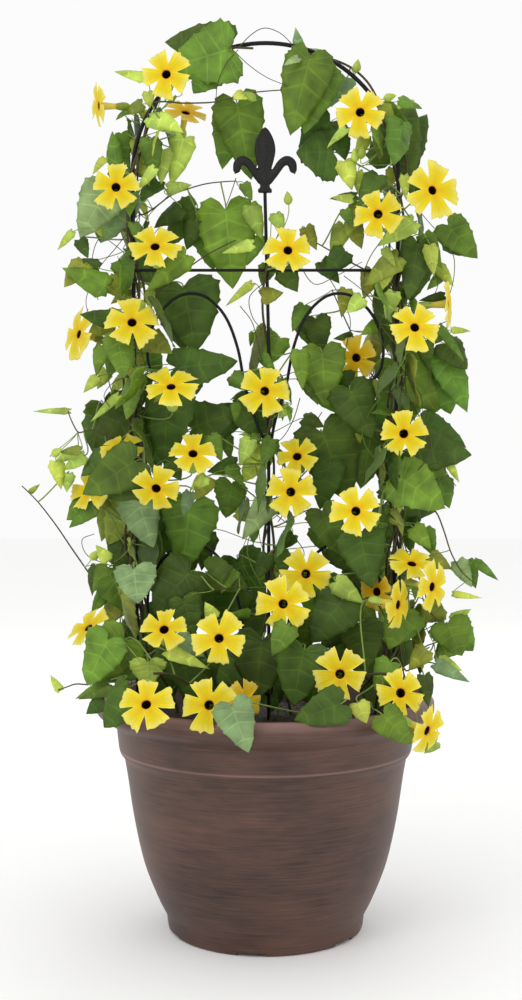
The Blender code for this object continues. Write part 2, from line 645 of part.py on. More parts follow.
class Plant:
    """Stems first, then blooms and leaves, each moved along its sight line until it touches nothing."""

    def __init__(self, obstacles):
        self.crowd = Crowd()
        for name, solid in obstacles:
            self.crowd.add(name, solid)
        self.pieces = {}
        self.roots = []
        self.used = []

    def add(self, vine, solid, owner=None):
        self.crowd.add(owner, solid)
        self.pieces.setdefault(vine, []).append(solid)

    def grow_stem(self, vine):
        for slack, turn in itertools.product(STEM_SLACKS, STEM_TURNS):
            path = stem_path(vine._replace(phase=vine.phase + turn), slack)
            if self.crowd.clear(tube(path, STEM, 5, MARGIN), ignore=("soil",)):
                break
        else:
            raise RuntimeError(f"no clear way up for {vine}")
        self.add(vine.name, tube(path, STEM, 4, taper=0.8), vine.name)
        above = [p for p in path if p.z > SOIL_TOP + 14 * MM]
        self.roots += [(vine.name, p) for p in above]
        return path

    def grow_shoot(self, shoot):
        own = [p for name, p in self.roots if name == shoot.vine]
        for shift in SHOOT_SHIFTS:
            places = [seen(x, y, depth + shift) for x, y, depth in shoot.places]
            for start in sorted(own, key=lambda p: (p - places[0]).length)[:10]:
                path = smoothed([start, *places], 2)
                if self.crowd.clear(tube(path, SHOOT, 5, MARGIN), ignore=(shoot.vine,)):
                    self.add(shoot.vine, tube(path, SHOOT, 4, taper=0.6), shoot.vine)
                    self.roots += [(shoot.vine, p) for p in path[2:]]
                    return
        raise RuntimeError(f"no clear way for {shoot}")

    def find_stalk(self, end, arriving):
        """The nearest free place on a stem that a clear stalk reaches the end from."""
        free = [r for r in self.roots if all((r[1] - u).length > ROOT_SPACING for u in self.used)]
        free = [r for r in free if (r[1] - end).length < LONGEST_STALK]
        free.sort(key=lambda r: (r[1] - end).length + max(r[1].z - end.z, 0) * 0.5)
        for vine, root in free[:24]:
            span = (root - end).length
            if span < ROOT_SPACING:
                continue
            steps = 1 if span < 16 * MM else 2 if span < 60 * MM else 3
            path = stalk_curve(root, end, arriving, steps)
            trial = tube(path, STALK, 4, MARGIN)
            if self.crowd.clear(trial, ignore=(vine,)):
                return vine, root, path
        return None

    def place_bloom(self, bloom):
        for shift in BLOOM_SHIFTS:
            axes = bloom_axes(bloom, bloom.depth + shift)
            if not self.crowd.clear(corolla(bloom, axes, MARGIN)):
                continue
            seat = axes[0] - axes[1] * (TUBE_LENGTH + PETAL + GAP + BRACT_LENGTH)
            cup = bracts(axes, [seat - axes[1] * 3 * MM, seat], MARGIN)
            if not self.crowd.clear(cup):
                continue
            found = self.find_stalk(seat, axes[1])
            if not found:
                continue
            vine, root, path = found
            solid = corolla(bloom, axes)
            self.crowd.add(None, solid)
            self.add(vine, bracts(axes, path))
            self.used.append(root)
            return solid
        raise RuntimeError(f"no clear place for {bloom}")

    def place_leaf(self, leaf):
        for shift in LEAF_SHIFTS:
            rng = random.Random(f"{SEED} {leaf.base_x} {leaf.base_y}")
            moved = leaf._replace(depth=leaf.depth + shift)
            axes = leaf_axes(moved, rng)
            shape = (rng.uniform(-0.28, 0.12), rng.uniform(0.02, 0.16))
            blade, _ = leaf_blade(moved, axes, shape, MARGIN)
            if not self.crowd.clear(blade):
                continue
            arriving = (axes[1] + axes[3] * 0.8).normalized()
            found = self.find_stalk(axes[0] - axes[1] * 0.01 * axes[4], arriving)
            if not found:
                continue
            vine, root, path = found
            self.add(vine, leaf_solid(moved, axes, shape, path))
            self.used.append(root)
            return
        raise RuntimeError(f"no clear place for {leaf}")


def body_profile():
    """Radius and height up the planter's outside, from the foot to the lip's inner edge."""
    body = [(radius * MM, height * MM) for radius, height in BODY]
    return (
        (FOOT_RADIUS - 2 * MM, 0.0),
        (FOOT_RADIUS, 2 * MM),
        *body,
        (BAND_RADIUS - 3 * MM, BAND_BOTTOM + 3 * MM),
        (BAND_RADIUS, BAND_TOP),
        (LIP_RADIUS - 4 * MM, LIP_TOP - LIP_DROP),
        (LIP_RADIUS, LIP_TOP - LIP_DROP + 4 * MM),
        (LIP_RADIUS, LIP_TOP - 5 * MM),
        (LIP_RADIUS - 4 * MM, LIP_TOP),
        (LIP_RADIUS - 9 * MM, LIP_TOP),
    )


def inner_profile():
    """Radius and height down the planter's inside, from under the lip to the floor."""
    body = [(radius * MM - WALL, height * MM) for radius, height in reversed(BODY)]
    return ((BAND_RADIUS - WALL / 2, BAND_TOP + 4 * MM), *body, (FOOT_RADIUS - WALL, FLOOR))


def turned(profile, segments):
    """A solid of revolution about Z: its profile runs from the axis at the bottom to the axis again."""
    mesh = bmesh.new()
    line = [mesh.verts.new((radius, 0, height)) for radius, height in profile]
    edges = [mesh.edges.new(pair) for pair in zip(line, line[1:])]
    bmesh.ops.spin(mesh, geom=line + edges, axis=(0, 0, 1), cent=(0, 0, 0), dvec=(0, 0, 0),
                   angle=math.tau, steps=segments, use_merge=True)
    bmesh.ops.remove_doubles(mesh, verts=mesh.verts, dist=1e-6)
    bmesh.ops.recalc_face_normals(mesh, faces=mesh.faces)
    return mesh


def turned_object(name, profile, segments, surface):
    mesh = bpy.data.meshes.new(name)
    shape = turned(profile, segments)
    shape.to_mesh(mesh)
    shape.free()
    mesh.materials.append(surface)
    thing = bpy.data.objects.new(name, mesh)
    bpy.context.scene.collection.objects.link(thing)
    return thing


def combine(target, solids, operation, solver="EXACT"):
    """Joins solids to the target, or cuts them from it, with one applied Boolean on a collection."""
    group = bpy.data.collections.new("repeats")
    bpy.context.scene.collection.children.link(group)
    for number, solid in enumerate(solids):
        new_object(f"repeat_{number}", solid, collection=group)
    step = target.modifiers.new("combine", "BOOLEAN")
    step.operation = operation
    step.operand_type = "COLLECTION"
    step.collection = group
    step.solver = solver
    depsgraph = bpy.context.evaluated_depsgraph_get()
    mesh = bpy.data.meshes.new_from_object(target.evaluated_get(depsgraph))
    target.modifiers.clear()
    target.data = mesh
    for repeat in list(group.objects):
        bpy.data.objects.remove(repeat)
    bpy.data.collections.remove(group)
    split_faces(target)


def turn_diagonal(shape, edge, pair):
    """Splits the four-sided face that two triangles make along its other diagonal, if that lies inside."""
    first, second = pair
    loop = next(l for l in first.loops if l.edge == edge)
    a, b, c = loop.vert, loop.link_loop_next.vert, loop.link_loop_prev.vert
    d = next(v for v in second.verts if v not in (a, b))
    normal = (b.co - a.co).cross(c.co - a.co)
    halves = ((a, d, c), (d, b, c))
    if any((q.co - p.co).cross(r.co - p.co).dot(normal) <= 0 for p, q, r in halves):
        return False
    if shape.edges.get((c, d)):
        return False
    bmesh.ops.delete(shape, geom=[first, second], context="FACES_ONLY")
    for half in halves:
        shape.faces.new(half)
    return True


def drop_flaps(shape):
    """Drops pairs of triangles that lie back to back on the same three points."""
    pairs = {}
    for face in shape.faces:
        pairs.setdefault(frozenset(face.verts), []).append(face)
    flaps = [face for pair in pairs.values() if len(pair) == 2 for face in pair]
    bmesh.ops.delete(shape, geom=flaps, context="FACES")
    loose = [vertex for vertex in shape.verts if not vertex.link_faces]
    bmesh.ops.delete(shape, geom=loose, context="VERTS")


def split_faces(thing):
    """Splits the faces into triangles so that no two diagonals fall on one another."""
    shape = bmesh.new()
    shape.from_mesh(thing.data)
    origin = shape.faces.layers.int.new("origin")
    for number, face in enumerate(shape.faces):
        face[origin] = number
    bmesh.ops.triangulate(shape, faces=shape.faces)
    drop_flaps(shape)
    for edge in [e for e in shape.edges if len(e.link_faces) > 2]:
        pairs = {}
        for face in edge.link_faces:
            pairs.setdefault(face[origin], []).append(face)
        for pair in pairs.values():
            if len(pair) == 2 and turn_diagonal(shape, edge, pair):
                break
    shape.to_mesh(thing.data)
    shape.free()


def keep_largest(thing):
    """Drops any loose scrap or sealed hollow that joining left behind."""
    shape = bmesh.new()
    shape.from_mesh(thing.data)
    waiting = set(shape.verts)
    bodies = []
    while waiting:
        body = {waiting.pop()}
        edge = list(body)
        while edge:
            vertex = edge.pop()
            for link in vertex.link_edges:
                other = link.other_vert(vertex)
                if other in waiting:
                    waiting.remove(other)
                    body.add(other)
                    edge.append(other)
        bodies.append(body)
    bodies.sort(key=len, reverse=True)
    for scrap in bodies[1:]:
        bmesh.ops.delete(shape, geom=list(scrap), context="VERTS")
    shape.to_mesh(thing.data)
    shape.free()


def make_pot(surface):
    profile = [(0.0, 0.0), *body_profile(), *inner_profile(), (0.0, FLOOR)]
    pot = turned_object("pot", profile, POT_SEGMENTS, surface)
    cuts = []
    for number, degrees in enumerate(NOTCH_ANGLES):
        angle = math.radians(degrees)
        out = Vector((math.cos(angle), math.sin(angle), 0))
        side = Vector((-out.y, out.x, 0)) * NOTCH_WIDTH / 2
        rings = []
        for distance in (NOTCH_START, FOOT_RADIUS + CUT_PAST):
            ring = []
            for across, up in ((-1, -CUT_PAST), (1, -CUT_PAST), (1, NOTCH_HEIGHT), (-1, NOTCH_HEIGHT)):
                ring.append(out * distance + side * across + Vector((0, 0, up)))
            rings.append(ring)
        cuts.append(skin(rings))
        if number % 2:
            middle = out * DRAIN_CIRCLE
            path = [middle - Vector((0, 0, CUT_PAST)), middle + Vector((0, 0, FLOOR + CUT_PAST))]
            cuts.append(tube(path, DRAIN_RADIUS, 10))
    combine(pot, cuts, "DIFFERENCE")
    return pot


def make_soil(surface, stems):
    profile = [(0.0, SOIL_TOP + 2 * MM), (SOIL_RIM * 0.6, SOIL_TOP + 1 * MM), (SOIL_RIM, SOIL_TOP - 2 * MM)]
    for radius, height in inner_profile():
        if height < SOIL_TOP:
            profile.append((radius - 2 * GAP, max(height, FLOOR + GAP)))
    profile.append((0.0, FLOOR + GAP))
    soil = turned_object("soil", profile, SOIL_SEGMENTS, surface)
    holes = []
    for path, radius in stems:
        below = [p for p in path if p.z < SOIL_TOP + 8 * MM]
        after = path[len(below)]
        past = below[-1] + (after - below[-1]) * ((SOIL_TOP + 20 * MM - below[-1].z) / (after - below[-1]).z)
        inside = [path[0] - Vector((0, 0, GAP)), *below[1:], past]
        holes.append(tube(inside, radius * 1.24 + GAP, 5))
    combine(soil, holes, "DIFFERENCE")
    return soil


def scroll(side, drop):
    """One lyre-shaped wire scroll that starts on the rod and curls in at its outer end."""
    outline = ((2.0, 446), (9, 468), (19, 500), (26, 536), (38, 566), (57, 584), (78, 585), (96, 571),
               (107, 550), (109.5, 529), (105, 512), (95, 504), (82, 505))
    points = []
    for across, height in outline:
        foot = max(0, (460 - height) / 14) * 3
        points.append(Vector((side * across + foot, 0, height - drop)) * MM)
    return points


def trellis_wires():
    """Centre lines, radii and sides of every wire of the trellis."""
    frame = []
    for side in (-1, 1):
        leg = [Vector((side * leg_x(h), 0, h)) for h in (SOIL_TOP, 300 * MM, 520 * MM)]
        frame.append([Vector((side * STAKE_SPREAD, 0, STAKE_END)), *leg])
    arch = [frame_point(-1, ARCH_CENTRE - SOIL_TOP + ARCH_RADIUS * math.pi * k / 20)[0] for k in range(21)]
    loop = frame[0] + arch + frame[1][::-1]
    rod = [Vector((rod_x(h), 0, h)) for h in (ROD_END, 300 * MM, 540 * MM, ROD_TOP)]
    reach = leg_x(CROSSBAR)
    bar = [Vector((-reach, 0, CROSSBAR)), Vector((reach, 0, CROSSBAR))]
    wires = [(loop, FRAME_WIRE, 8), (rod, ROD_WIRE, 6), (bar, SCROLL_WIRE, 6)]
    for drop in (0, SCROLL_PITCH / MM):
        for side in (-1, 1):
            wires.append((scroll(side, drop), SCROLL_WIRE, 5))
    return wires


def make_trellis(surface):
    solids = [tube(path, radius, sides) for path, radius, sides in trellis_wires()]
    trellis = new_object("trellis", solids[0], surface)
    combine(trellis, solids[1:], "UNION")
    return trellis, solids


def finial_outline():
    """Half outline of the fleur-de-lis in mm from the collar's foot to the tip: (across, up)."""
    return ((6.4, 0), (6.6, 3), (4.6, 4.5), (4.4, 8), (8.5, 14), (15, 24), (20, 26.5), (24.5, 23), (27.8, 17),
            (28.6, 24), (26, 31), (20.5, 34), (14, 31), (8.5, 23), (5.0, 19), (7.6, 28), (9.8, 39), (8.2, 49),
            (3.6, 58), (0, 61))


def make_finial(surface):
    half = finial_outline()
    outline = list(half) + [(-x, z) for x, z in reversed(half[:-1])]
    mesh = bmesh.new()
    foot = ROD_TOP + GAP
    flat = [mesh.verts.new((x * MM + rod_x(ROD_TOP), -FINIAL_THICKNESS / 2, foot + z * MM)) for x, z in outline]
    face = mesh.faces.new(flat)
    drawn = bmesh.ops.extrude_face_region(mesh, geom=[face])
    moved = [item for item in drawn["geom"] if isinstance(item, bmesh.types.BMVert)]
    bmesh.ops.translate(mesh, verts=moved, vec=(0, FINIAL_THICKNESS, 0))
    bmesh.ops.recalc_face_normals(mesh, faces=mesh.faces)
    data = bpy.data.meshes.new("finial")
    mesh.to_mesh(data)
    mesh.free()
    data.materials.append(surface)
    finial = bpy.data.objects.new("finial", data)
    bpy.context.scene.collection.objects.link(finial)
    return finial


def world_solid(thing):
    mesh = thing.data
    return [v.co.copy() for v in mesh.vertices], [tuple(p.vertices) for p in mesh.polygons]


def main():
    for thing in list(bpy.data.objects):
        bpy.data.objects.remove(thing)
    resin = material("brushed_bronze_resin", (0.10, 0.055, 0.045), 0.45, 0.2)
    wire = material("black_painted_wire", (0.01, 0.01, 0.01), 0.5)
    iron = material("black_cast_iron", (0.025, 0.024, 0.022), 0.7)
    earth = material("potting_soil", (0.03, 0.02, 0.015), 0.95)
    green = material("vine_green", (0.09, 0.18, 0.04), 0.55)
    yellow = material("petal_yellow", (0.9, 0.6, 0.02), 0.55)

    pot = make_pot(resin)
    trellis, wires = make_trellis(wire)
    finial = make_finial(iron)

    ground = tube([Vector((0, 0, STEM_ROOT)), Vector((0, 0, SOIL_TOP + 5 * MM))], SOIL_RIM, SOIL_SEGMENTS)
    made = [("pot", world_solid(pot)), ("trellis", world_solid(trellis)), ("finial", world_solid(finial))]
    plant = Plant([*made, ("soil", ground)])
    stems = [(plant.grow_stem(vine), STEM) for vine in VINES]
    for shoot in SHOOTS:
        plant.grow_shoot(shoot)
    corollas = [plant.place_bloom(bloom) for bloom in BLOOMS]
    for leaf in (*LARGE_LEAVES, *SMALL_LEAVES):
        plant.place_leaf(leaf)

    for path, radius, _ in trellis_wires()[:2]:
        stems.append((path[:3], radius))
        if radius == FRAME_WIRE:
            stems.append((path[:-4:-1], radius))
    make_soil(earth, stems)

    for number, solid in enumerate(corollas, 1):
        new_object(f"bloom_{number:02d}", solid, yellow)
    for vine in VINES:
        first, *rest = plant.pieces[vine.name]
        thing = new_object(vine.name, first, green)
        if rest:
            combine(thing, rest, "UNION", "MANIFOLD")
        keep_largest(thing)


main()
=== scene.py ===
"""Looks of a black eyed susan vine that climbs a wire trellis in a turned planter.

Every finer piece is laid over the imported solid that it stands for. Where a stem, leaf or bloom lies is
written as the pixel of the photograph it covers and a depth in millimetres. How far each was moved to
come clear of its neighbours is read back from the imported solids, by Layout.
"""

import functools
import itertools
import json
import math
import random
from collections import Counter, namedtuple

import bmesh
import bpy
from mathutils import Matrix, Vector, noise
from mathutils.bvhtree import BVHTree
from mathutils.kdtree import KDTree

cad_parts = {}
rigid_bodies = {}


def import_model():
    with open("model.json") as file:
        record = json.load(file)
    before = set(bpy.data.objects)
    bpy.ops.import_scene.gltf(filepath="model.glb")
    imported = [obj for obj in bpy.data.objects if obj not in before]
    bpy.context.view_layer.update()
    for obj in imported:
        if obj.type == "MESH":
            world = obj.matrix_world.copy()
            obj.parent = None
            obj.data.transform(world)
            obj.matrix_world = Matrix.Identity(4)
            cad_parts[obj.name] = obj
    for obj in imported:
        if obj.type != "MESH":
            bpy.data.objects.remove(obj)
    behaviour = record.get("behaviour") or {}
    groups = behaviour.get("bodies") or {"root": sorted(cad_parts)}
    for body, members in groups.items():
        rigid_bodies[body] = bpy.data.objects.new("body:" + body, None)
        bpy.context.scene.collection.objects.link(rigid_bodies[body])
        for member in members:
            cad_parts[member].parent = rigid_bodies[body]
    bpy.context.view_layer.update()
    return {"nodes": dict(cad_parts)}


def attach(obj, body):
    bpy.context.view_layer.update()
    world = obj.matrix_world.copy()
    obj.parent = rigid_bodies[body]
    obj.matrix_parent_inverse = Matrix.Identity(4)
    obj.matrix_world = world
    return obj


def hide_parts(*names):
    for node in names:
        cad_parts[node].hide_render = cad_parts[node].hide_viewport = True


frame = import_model()

bl_info = {
    "name": "Black Eyed Susan Vine",
    "version": (1, 0, 0),
    "blender": (4, 5, 0),
    "location": "3D Viewport > Sidebar > Vine",
    "description": "A flowering vine on a wire trellis in a planter, laid over its packed solids",
    "category": "Add Mesh",
}

MM = 0.001

# Viewpoint of the photograph
PIXEL = 0.93 * MM
AXIS_COLUMN = 265.5
HORIZON_ROW = 452
EYE_DISTANCE = 1.35
EYE_HEIGHT = 0.439
IMAGE_WIDTH = 522
IMAGE_HEIGHT = 1000
SENSOR = 36.0

# Planter, as the solids have it
LIP_RADIUS = 156 * MM
LIP_TOP = 215 * MM
LIP_DROP = 18 * MM
BAND_RADIUS = 138 * MM
BAND_TOP = 189 * MM
BAND_BOTTOM = 164 * MM
FOOT_RADIUS = 90 * MM
# Radius and height up the bulging body, in mm
BODY = ((91.5, 14), (100.5, 32), (112.5, 63), (121.5, 103), (127.5, 142), (130.5, 159))
WALL = 3.5 * MM
FLOOR = 5 * MM
DRAIN_RADIUS = 6 * MM
DRAIN_CIRCLE = 55 * MM
NOTCH_WIDTH = 25 * MM
NOTCH_HEIGHT = 3 * MM
NOTCH_START = 70 * MM
NOTCH_ANGLES = (262, 322, 22, 82, 142, 202)
CUT_PAST = 10 * MM
SOIL_TOP = 188 * MM
SOIL_RIM = 133.5 * MM

# Trellis, as the solids have it
ARCH_RADIUS = 123.7 * MM
ARCH_CENTRE = 695.6 * MM
LEG_LEAN = 0.0099
FRAME_WIRE = 2.5 * MM
ROD_WIRE = 2.0 * MM
SCROLL_WIRE = 1.8 * MM
STAKE_END = 100 * MM
STAKE_SPREAD = 107 * MM
ROD_END = 60 * MM
CROSSBAR = 608 * MM
ROD_TOP = 679.7 * MM
# The rod stands this many mm right of the axis below its bend and above it
ROD_SIDES = (3, -0.5)
ROD_BEND = 540 * MM
ROD_BEND_SPAN = 140 * MM
SCROLL_PITCH = 232.5 * MM
SCROLL_WELD = 447 * MM

# Plant, as the solids have it
GAP = 0.3 * MM
STEM = 1.35 * MM
STEM_TAPER = 0.8
SHOOT = 0.9 * MM
SHOOT_TAPER = 0.6
# A shoot starts at one of this many nearest points of its stem, and so many of its own points lie in the stem
SHOOT_STARTS = 10
SHOOT_ROOTED = 2
STALK = 0.75 * MM
# A stalk as long as the first of these has two straight parts, as long as the second three
STALK_SPANS = (16 * MM, 60 * MM)
BLADE = 0.8 * MM
PETAL = 0.65 * MM
TWIST_PITCH = 150 * MM
STEM_STEP = 20 * MM
STEM_ROOT = 150 * MM
STEM_LEAN = 85 * MM
STEM_CLEAR = 1.6 * MM
LOWEST_ROOT = 14 * MM
TUBE_LENGTH = 17 * MM
EYE_RADIUS = 4.7 * MM
HALF_LOBE = math.radians(36)
# Where two lobes part, as a share of the corolla's radius
LOBES_PART = 0.44
BRACT_LENGTH = 13 * MM
BRACT_RADIUS = 4.6 * MM
LONGEST_STALK = 150 * MM
# Seeded ranges: depth in mm from a leaf's stalk to its apex, its fold along the midrib and its droop
TIP_DEPTHS = (-12, 6)
FOLDS = (-0.28, 0.12)
DROOPS = (0.02, 0.16)
SEED = 11
SHOOT_SHIFTS = (0, 8, -8, 16, -16, 24, -24, 34, -34)
BLOOM_SHIFTS = (0, -6, 6, -12, 12, -18, 18, -26, 26, -36, -46)
LEAF_SHIFTS = (0, 5, -5, 10, -10, 16, -16, 24, -24, 34, -34, 46, -46)
STEM_SLACKS = (0, 2.5 * MM, 5 * MM, 8 * MM)
STEM_TURNS = range(0, 360, 15)
# A placing is the solid's own when the middle one of its distances to the solid's corners is under this
SAME_PLACE = 0.05 * MM

# Finer detail
EDGE_SEGMENTS = 3
EDGE_ANGLE = math.radians(22)
SHARP_ANGLE = math.radians(40)
SOIL_SEGMENTS = 72
CRUMBS_PER_SQUARE_METRE = 38000.0
FINIAL_FLAT = 5.2 * MM
FINIAL_SWELL = 3.4 * MM
FINIAL_MESH = 0.7 * MM
LEAF_THICKNESS = 0.5 * MM
PETAL_THICKNESS = 0.4 * MM
# Leaves wider than this many mm are drawn with the longer edge
LEAF_WIDE = 26
HUNG_FOLDS = (-0.3, 0.05)
HUNG_DROOPS = (0.05, 0.2)
STALK_TAPER = 0.85
LEAF_STALK_STEPS = 7
BLOOM_STALK_STEPS = 8
TINY_STALK = 0.45 * MM
# Thin stems: a point each so many mm of height, and the mm of height in their waves, across and behind
RAMBLE_STEP = 16
RAMBLE_SPREAD = 24 * MM
RAMBLE_WAVES = (47, 17, 39, 21)

# Bracts: share of their length and of their radius, open round a bloom's tube and shut
BRACT_SIDES = 16
BRACT_SQUASH = 0.86
OPEN_BRACTS = ((0.0, 0.22), (0.08, 0.62), (0.2, 0.86), (0.38, 1.0), (0.58, 0.98), (0.78, 0.80),
               (0.92, 0.64), (1.0, 0.56))
SHUT_BRACTS = ((0.0, 0.2), (0.1, 0.62), (0.3, 0.98), (0.5, 0.9), (0.75, 0.55), (0.92, 0.22), (1.0, 0.05))

# Throat of a corolla: share of its depth, radius and height in mm; then its end, and shares of the way
# from the eye to the lobes' rim
THROAT = ((0.0, 2.3, -17.0), (0.25, 2.6, -12.5), (0.5, 3.0, -8.0), (0.7, 3.35, -4.2), (0.82, 3.8, -2.0),
          (0.92, 4.25, -1.1), (1.0, 4.7, -0.6))
THROAT_END = -17.4
LIMB = (0.05, 0.14, 0.27, 0.41, 0.55, 0.69, 0.81, 0.91, 1.0)
# Green kept by the blooms that are more amber, by number, as painted shade on blooms that lie in shadow, and
# blue gained by the paler one
AMBER_SHADE = {3: 0.82, 14: 0.86, 30: 0.8, 39: 0.84}
PALE = {34: 1.25}

# Stage, in metres; a lamp has its share of the key light's power, its size and its place
FLOOR_REACH = 6.0
LAMP_AIM = Vector((0, 0, 0.45))
LAMPS = (("key", 1.0, 1.2, (-1.1, -1.7, 1.9)), ("fill", 0.35, 1.4, (1.6, -1.3, 1.0)),
         ("back", 0.4, 1.2, (0.5, 1.6, 1.8)))

# Leaf tones: painted shade inside the plant, own mid green, painted sheen, painted light through the blade,
# young green
IN_SHADE, MID, SHEEN, OLIVE, YOUNG = range(5)
SLOT_PLANT = "vine_green"

Vine = namedtuple("Vine", "name support phase root climb")
Shoot = namedtuple("Shoot", "vine places")
Bloom = namedtuple("Bloom", "across down depth width yaw pitch turn")
Leaf = namedtuple("Leaf", "base_x base_y tip_x tip_y width depth shade")
Placed = namedtuple("Placed", "vine leaf axes shape stalk thick")
Opened = namedtuple("Opened", "vine number bloom axes stalk thick")
Spray = namedtuple("Spray", "spread depth spans shapes lean shades")

# Stems: what they climb, their angle round it, where they leave the soil (across, back), their length in mm
VINES = (
    Vine("vine_left_a", "left", 90, (-107, -20), 690),
    Vine("vine_left_b", "left", 270, (-104, 26), 560),
    Vine("vine_left_c", "left", 180, (-90, -36), 450),
    Vine("vine_left_d", "left", 0, (-84, 42), 330),
    Vine("vine_right_a", "right", 270, (107, -20), 680),
    Vine("vine_right_b", "right", 90, (104, 26), 570),
    Vine("vine_right_c", "right", 180, (90, -36), 450),
    Vine("vine_right_d", "right", 0, (84, 42), 330),
    Vine("vine_centre_a", "centre", 200, (-20, -24), 440),
    Vine("vine_centre_b", "centre", 20, (24, 24), 330),
    Vine("vine_low_front_left", "low_front_left", 0, (-38, -52), 0),
    Vine("vine_low_front_right", "low_front_right", 0, (42, -52), 0),
    Vine("vine_low_back_left", "low_back_left", 0, (-40, 58), 0),
    Vine("vine_low_back_right", "low_back_right", 0, (42, 58), 0),
)

# Short stems that sprawl from the soil to the rim: (across, back, up) in mm
LOW_STEMS = {
    "low_front_left": ((-38, -52, 150), (-40, -56, 190), (-56, -76, 225), (-78, -98, 246), (-96, -112, 250)),
    "low_front_right": ((42, -52, 150), (44, -56, 190), (60, -76, 224), (86, -96, 246), (112, -104, 248)),
    "low_back_left": ((-40, 58, 150), (-42, 60, 190), (-58, 74, 240), (-84, 84, 290), (-100, 84, 340)),
    "low_back_right": ((42, 58, 150), (44, 60, 190), (62, 74, 244), (86, 84, 300), (98, 84, 350)),
}

# Side shoots: pixels (across, down) and depth in mm along each, starting near its vine's stem
SHOOTS = (
    Shoot("vine_left_a", ((152, 104, -8), (180, 103, -14), (214, 102, -16), (250, 93, -14), (282, 90, -14))),
    Shoot("vine_left_b", ((140, 214, 12), (170, 196, 18), (205, 184, 16), (236, 181, 14))),
    Shoot("vine_left_c", ((140, 306, -14), (170, 282, -22), (205, 256, -26), (236, 240, -24))),
    Shoot("vine_left_d", ((118, 440, -14), (92, 430, -20), (78, 432, -22), (68, 412, -22))),
    Shoot("vine_left_b", ((112, 600, 16), (84, 566, 18), (58, 528, 18), (38, 502, 16), (22, 486, 14))),
    Shoot("vine_left_d", ((104, 676, -26), (76, 684, -34), (58, 690, -36))),
    Shoot("vine_right_a", ((388, 282, 12), (350, 262, 20), (322, 246, 22), (304, 236, 22))),
    Shoot("vine_right_b", ((392, 398, 14), (370, 372, 20), (350, 330, 22), (332, 290, 22))),
    Shoot("vine_right_c",
          ((412, 500, -12), (436, 512, -18), (450, 550, -20), (462, 572, -22), (476, 584, -22))),
    Shoot("vine_right_d", ((404, 668, -22), (424, 648, -28), (444, 640, -30))),
    Shoot("vine_right_b", ((410, 256, 12), (428, 236, 18), (446, 226, 20))),
    Shoot("vine_centre_a", ((262, 600, -24), (240, 588, -34), (214, 590, -40))),
    Shoot("vine_centre_b", ((274, 512, 22), (300, 478, 30), (326, 452, 32))),
)

# Blooms: centre pixel, depth in mm, width in mm, facing right and up in degrees, turn about its own axis
BLOOMS = tuple(itertools.starmap(Bloom, (
    (166, 74, -42, 46, -8, 4, 10), (98, 106, -8, 40, -68, -4, 20),
    (186, 112, 34, 42, 18, 48, 0), (116, 187, -46, 43, 6, 4, 36),
    (360, 112, -44, 46, -10, 2, 6), (433, 190, -64, 53, 22, 6, -20),
    (378, 214, -52, 43, -6, 0, 14), (155, 246, -62, 46, 0, 30, 0),
    (132, 322, -70, 47, 4, 20, 30), (78, 334, -10, 50, -52, 10, 10),
    (288, 250, -38, 44, 4, 14, 36), (415, 327, -60, 46, 6, 18, 0),
    (449, 304, -2, 44, 74, 2, 20), (356, 358, 26, 42, -16, -6, 24),
    (171, 386, -64, 48, 0, 44, 0), (265, 391, -48, 46, 8, 4, -22),
    (404, 434, -64, 42, 4, -8, 30), (121, 448, -30, 42, -6, 52, 0),
    (193, 453, -66, 43, 4, 34, 36), (156, 489, -76, 43, -4, -22, -14),
    (90, 490, -16, 44, -34, 30, 10), (297, 456, -18, 40, -8, 30, 10),
    (291, 492, -58, 46, 6, 4, 36), (356, 511, -70, 45, 2, 12, 16),
    (306, 574, -50, 46, 2, 6, 0), (283, 604, -84, 48, -4, 6, 18),
    (412, 563, -52, 44, 10, 56, 0), (433, 587, -76, 46, 46, -4, 20),
    (399, 605, -88, 44, 54, -6, 0), (376, 592, -10, 36, -38, 0, 20),
    (88, 627, -48, 42, -46, 46, 0), (164, 629, -92, 40, -2, 34, 36),
    (219, 638, -98, 48, 0, 24, 0), (340, 674, -108, 46, -2, 12, 0),
    (401, 693, -104, 41, 10, 12, 14), (428, 731, -122, 42, 48, -12, 20),
    (146, 704, -122, 46, -6, 36, 36), (209, 705, -134, 47, -4, 16, 16),
    (245, 700, -100, 38, 44, 20, 0),
)))

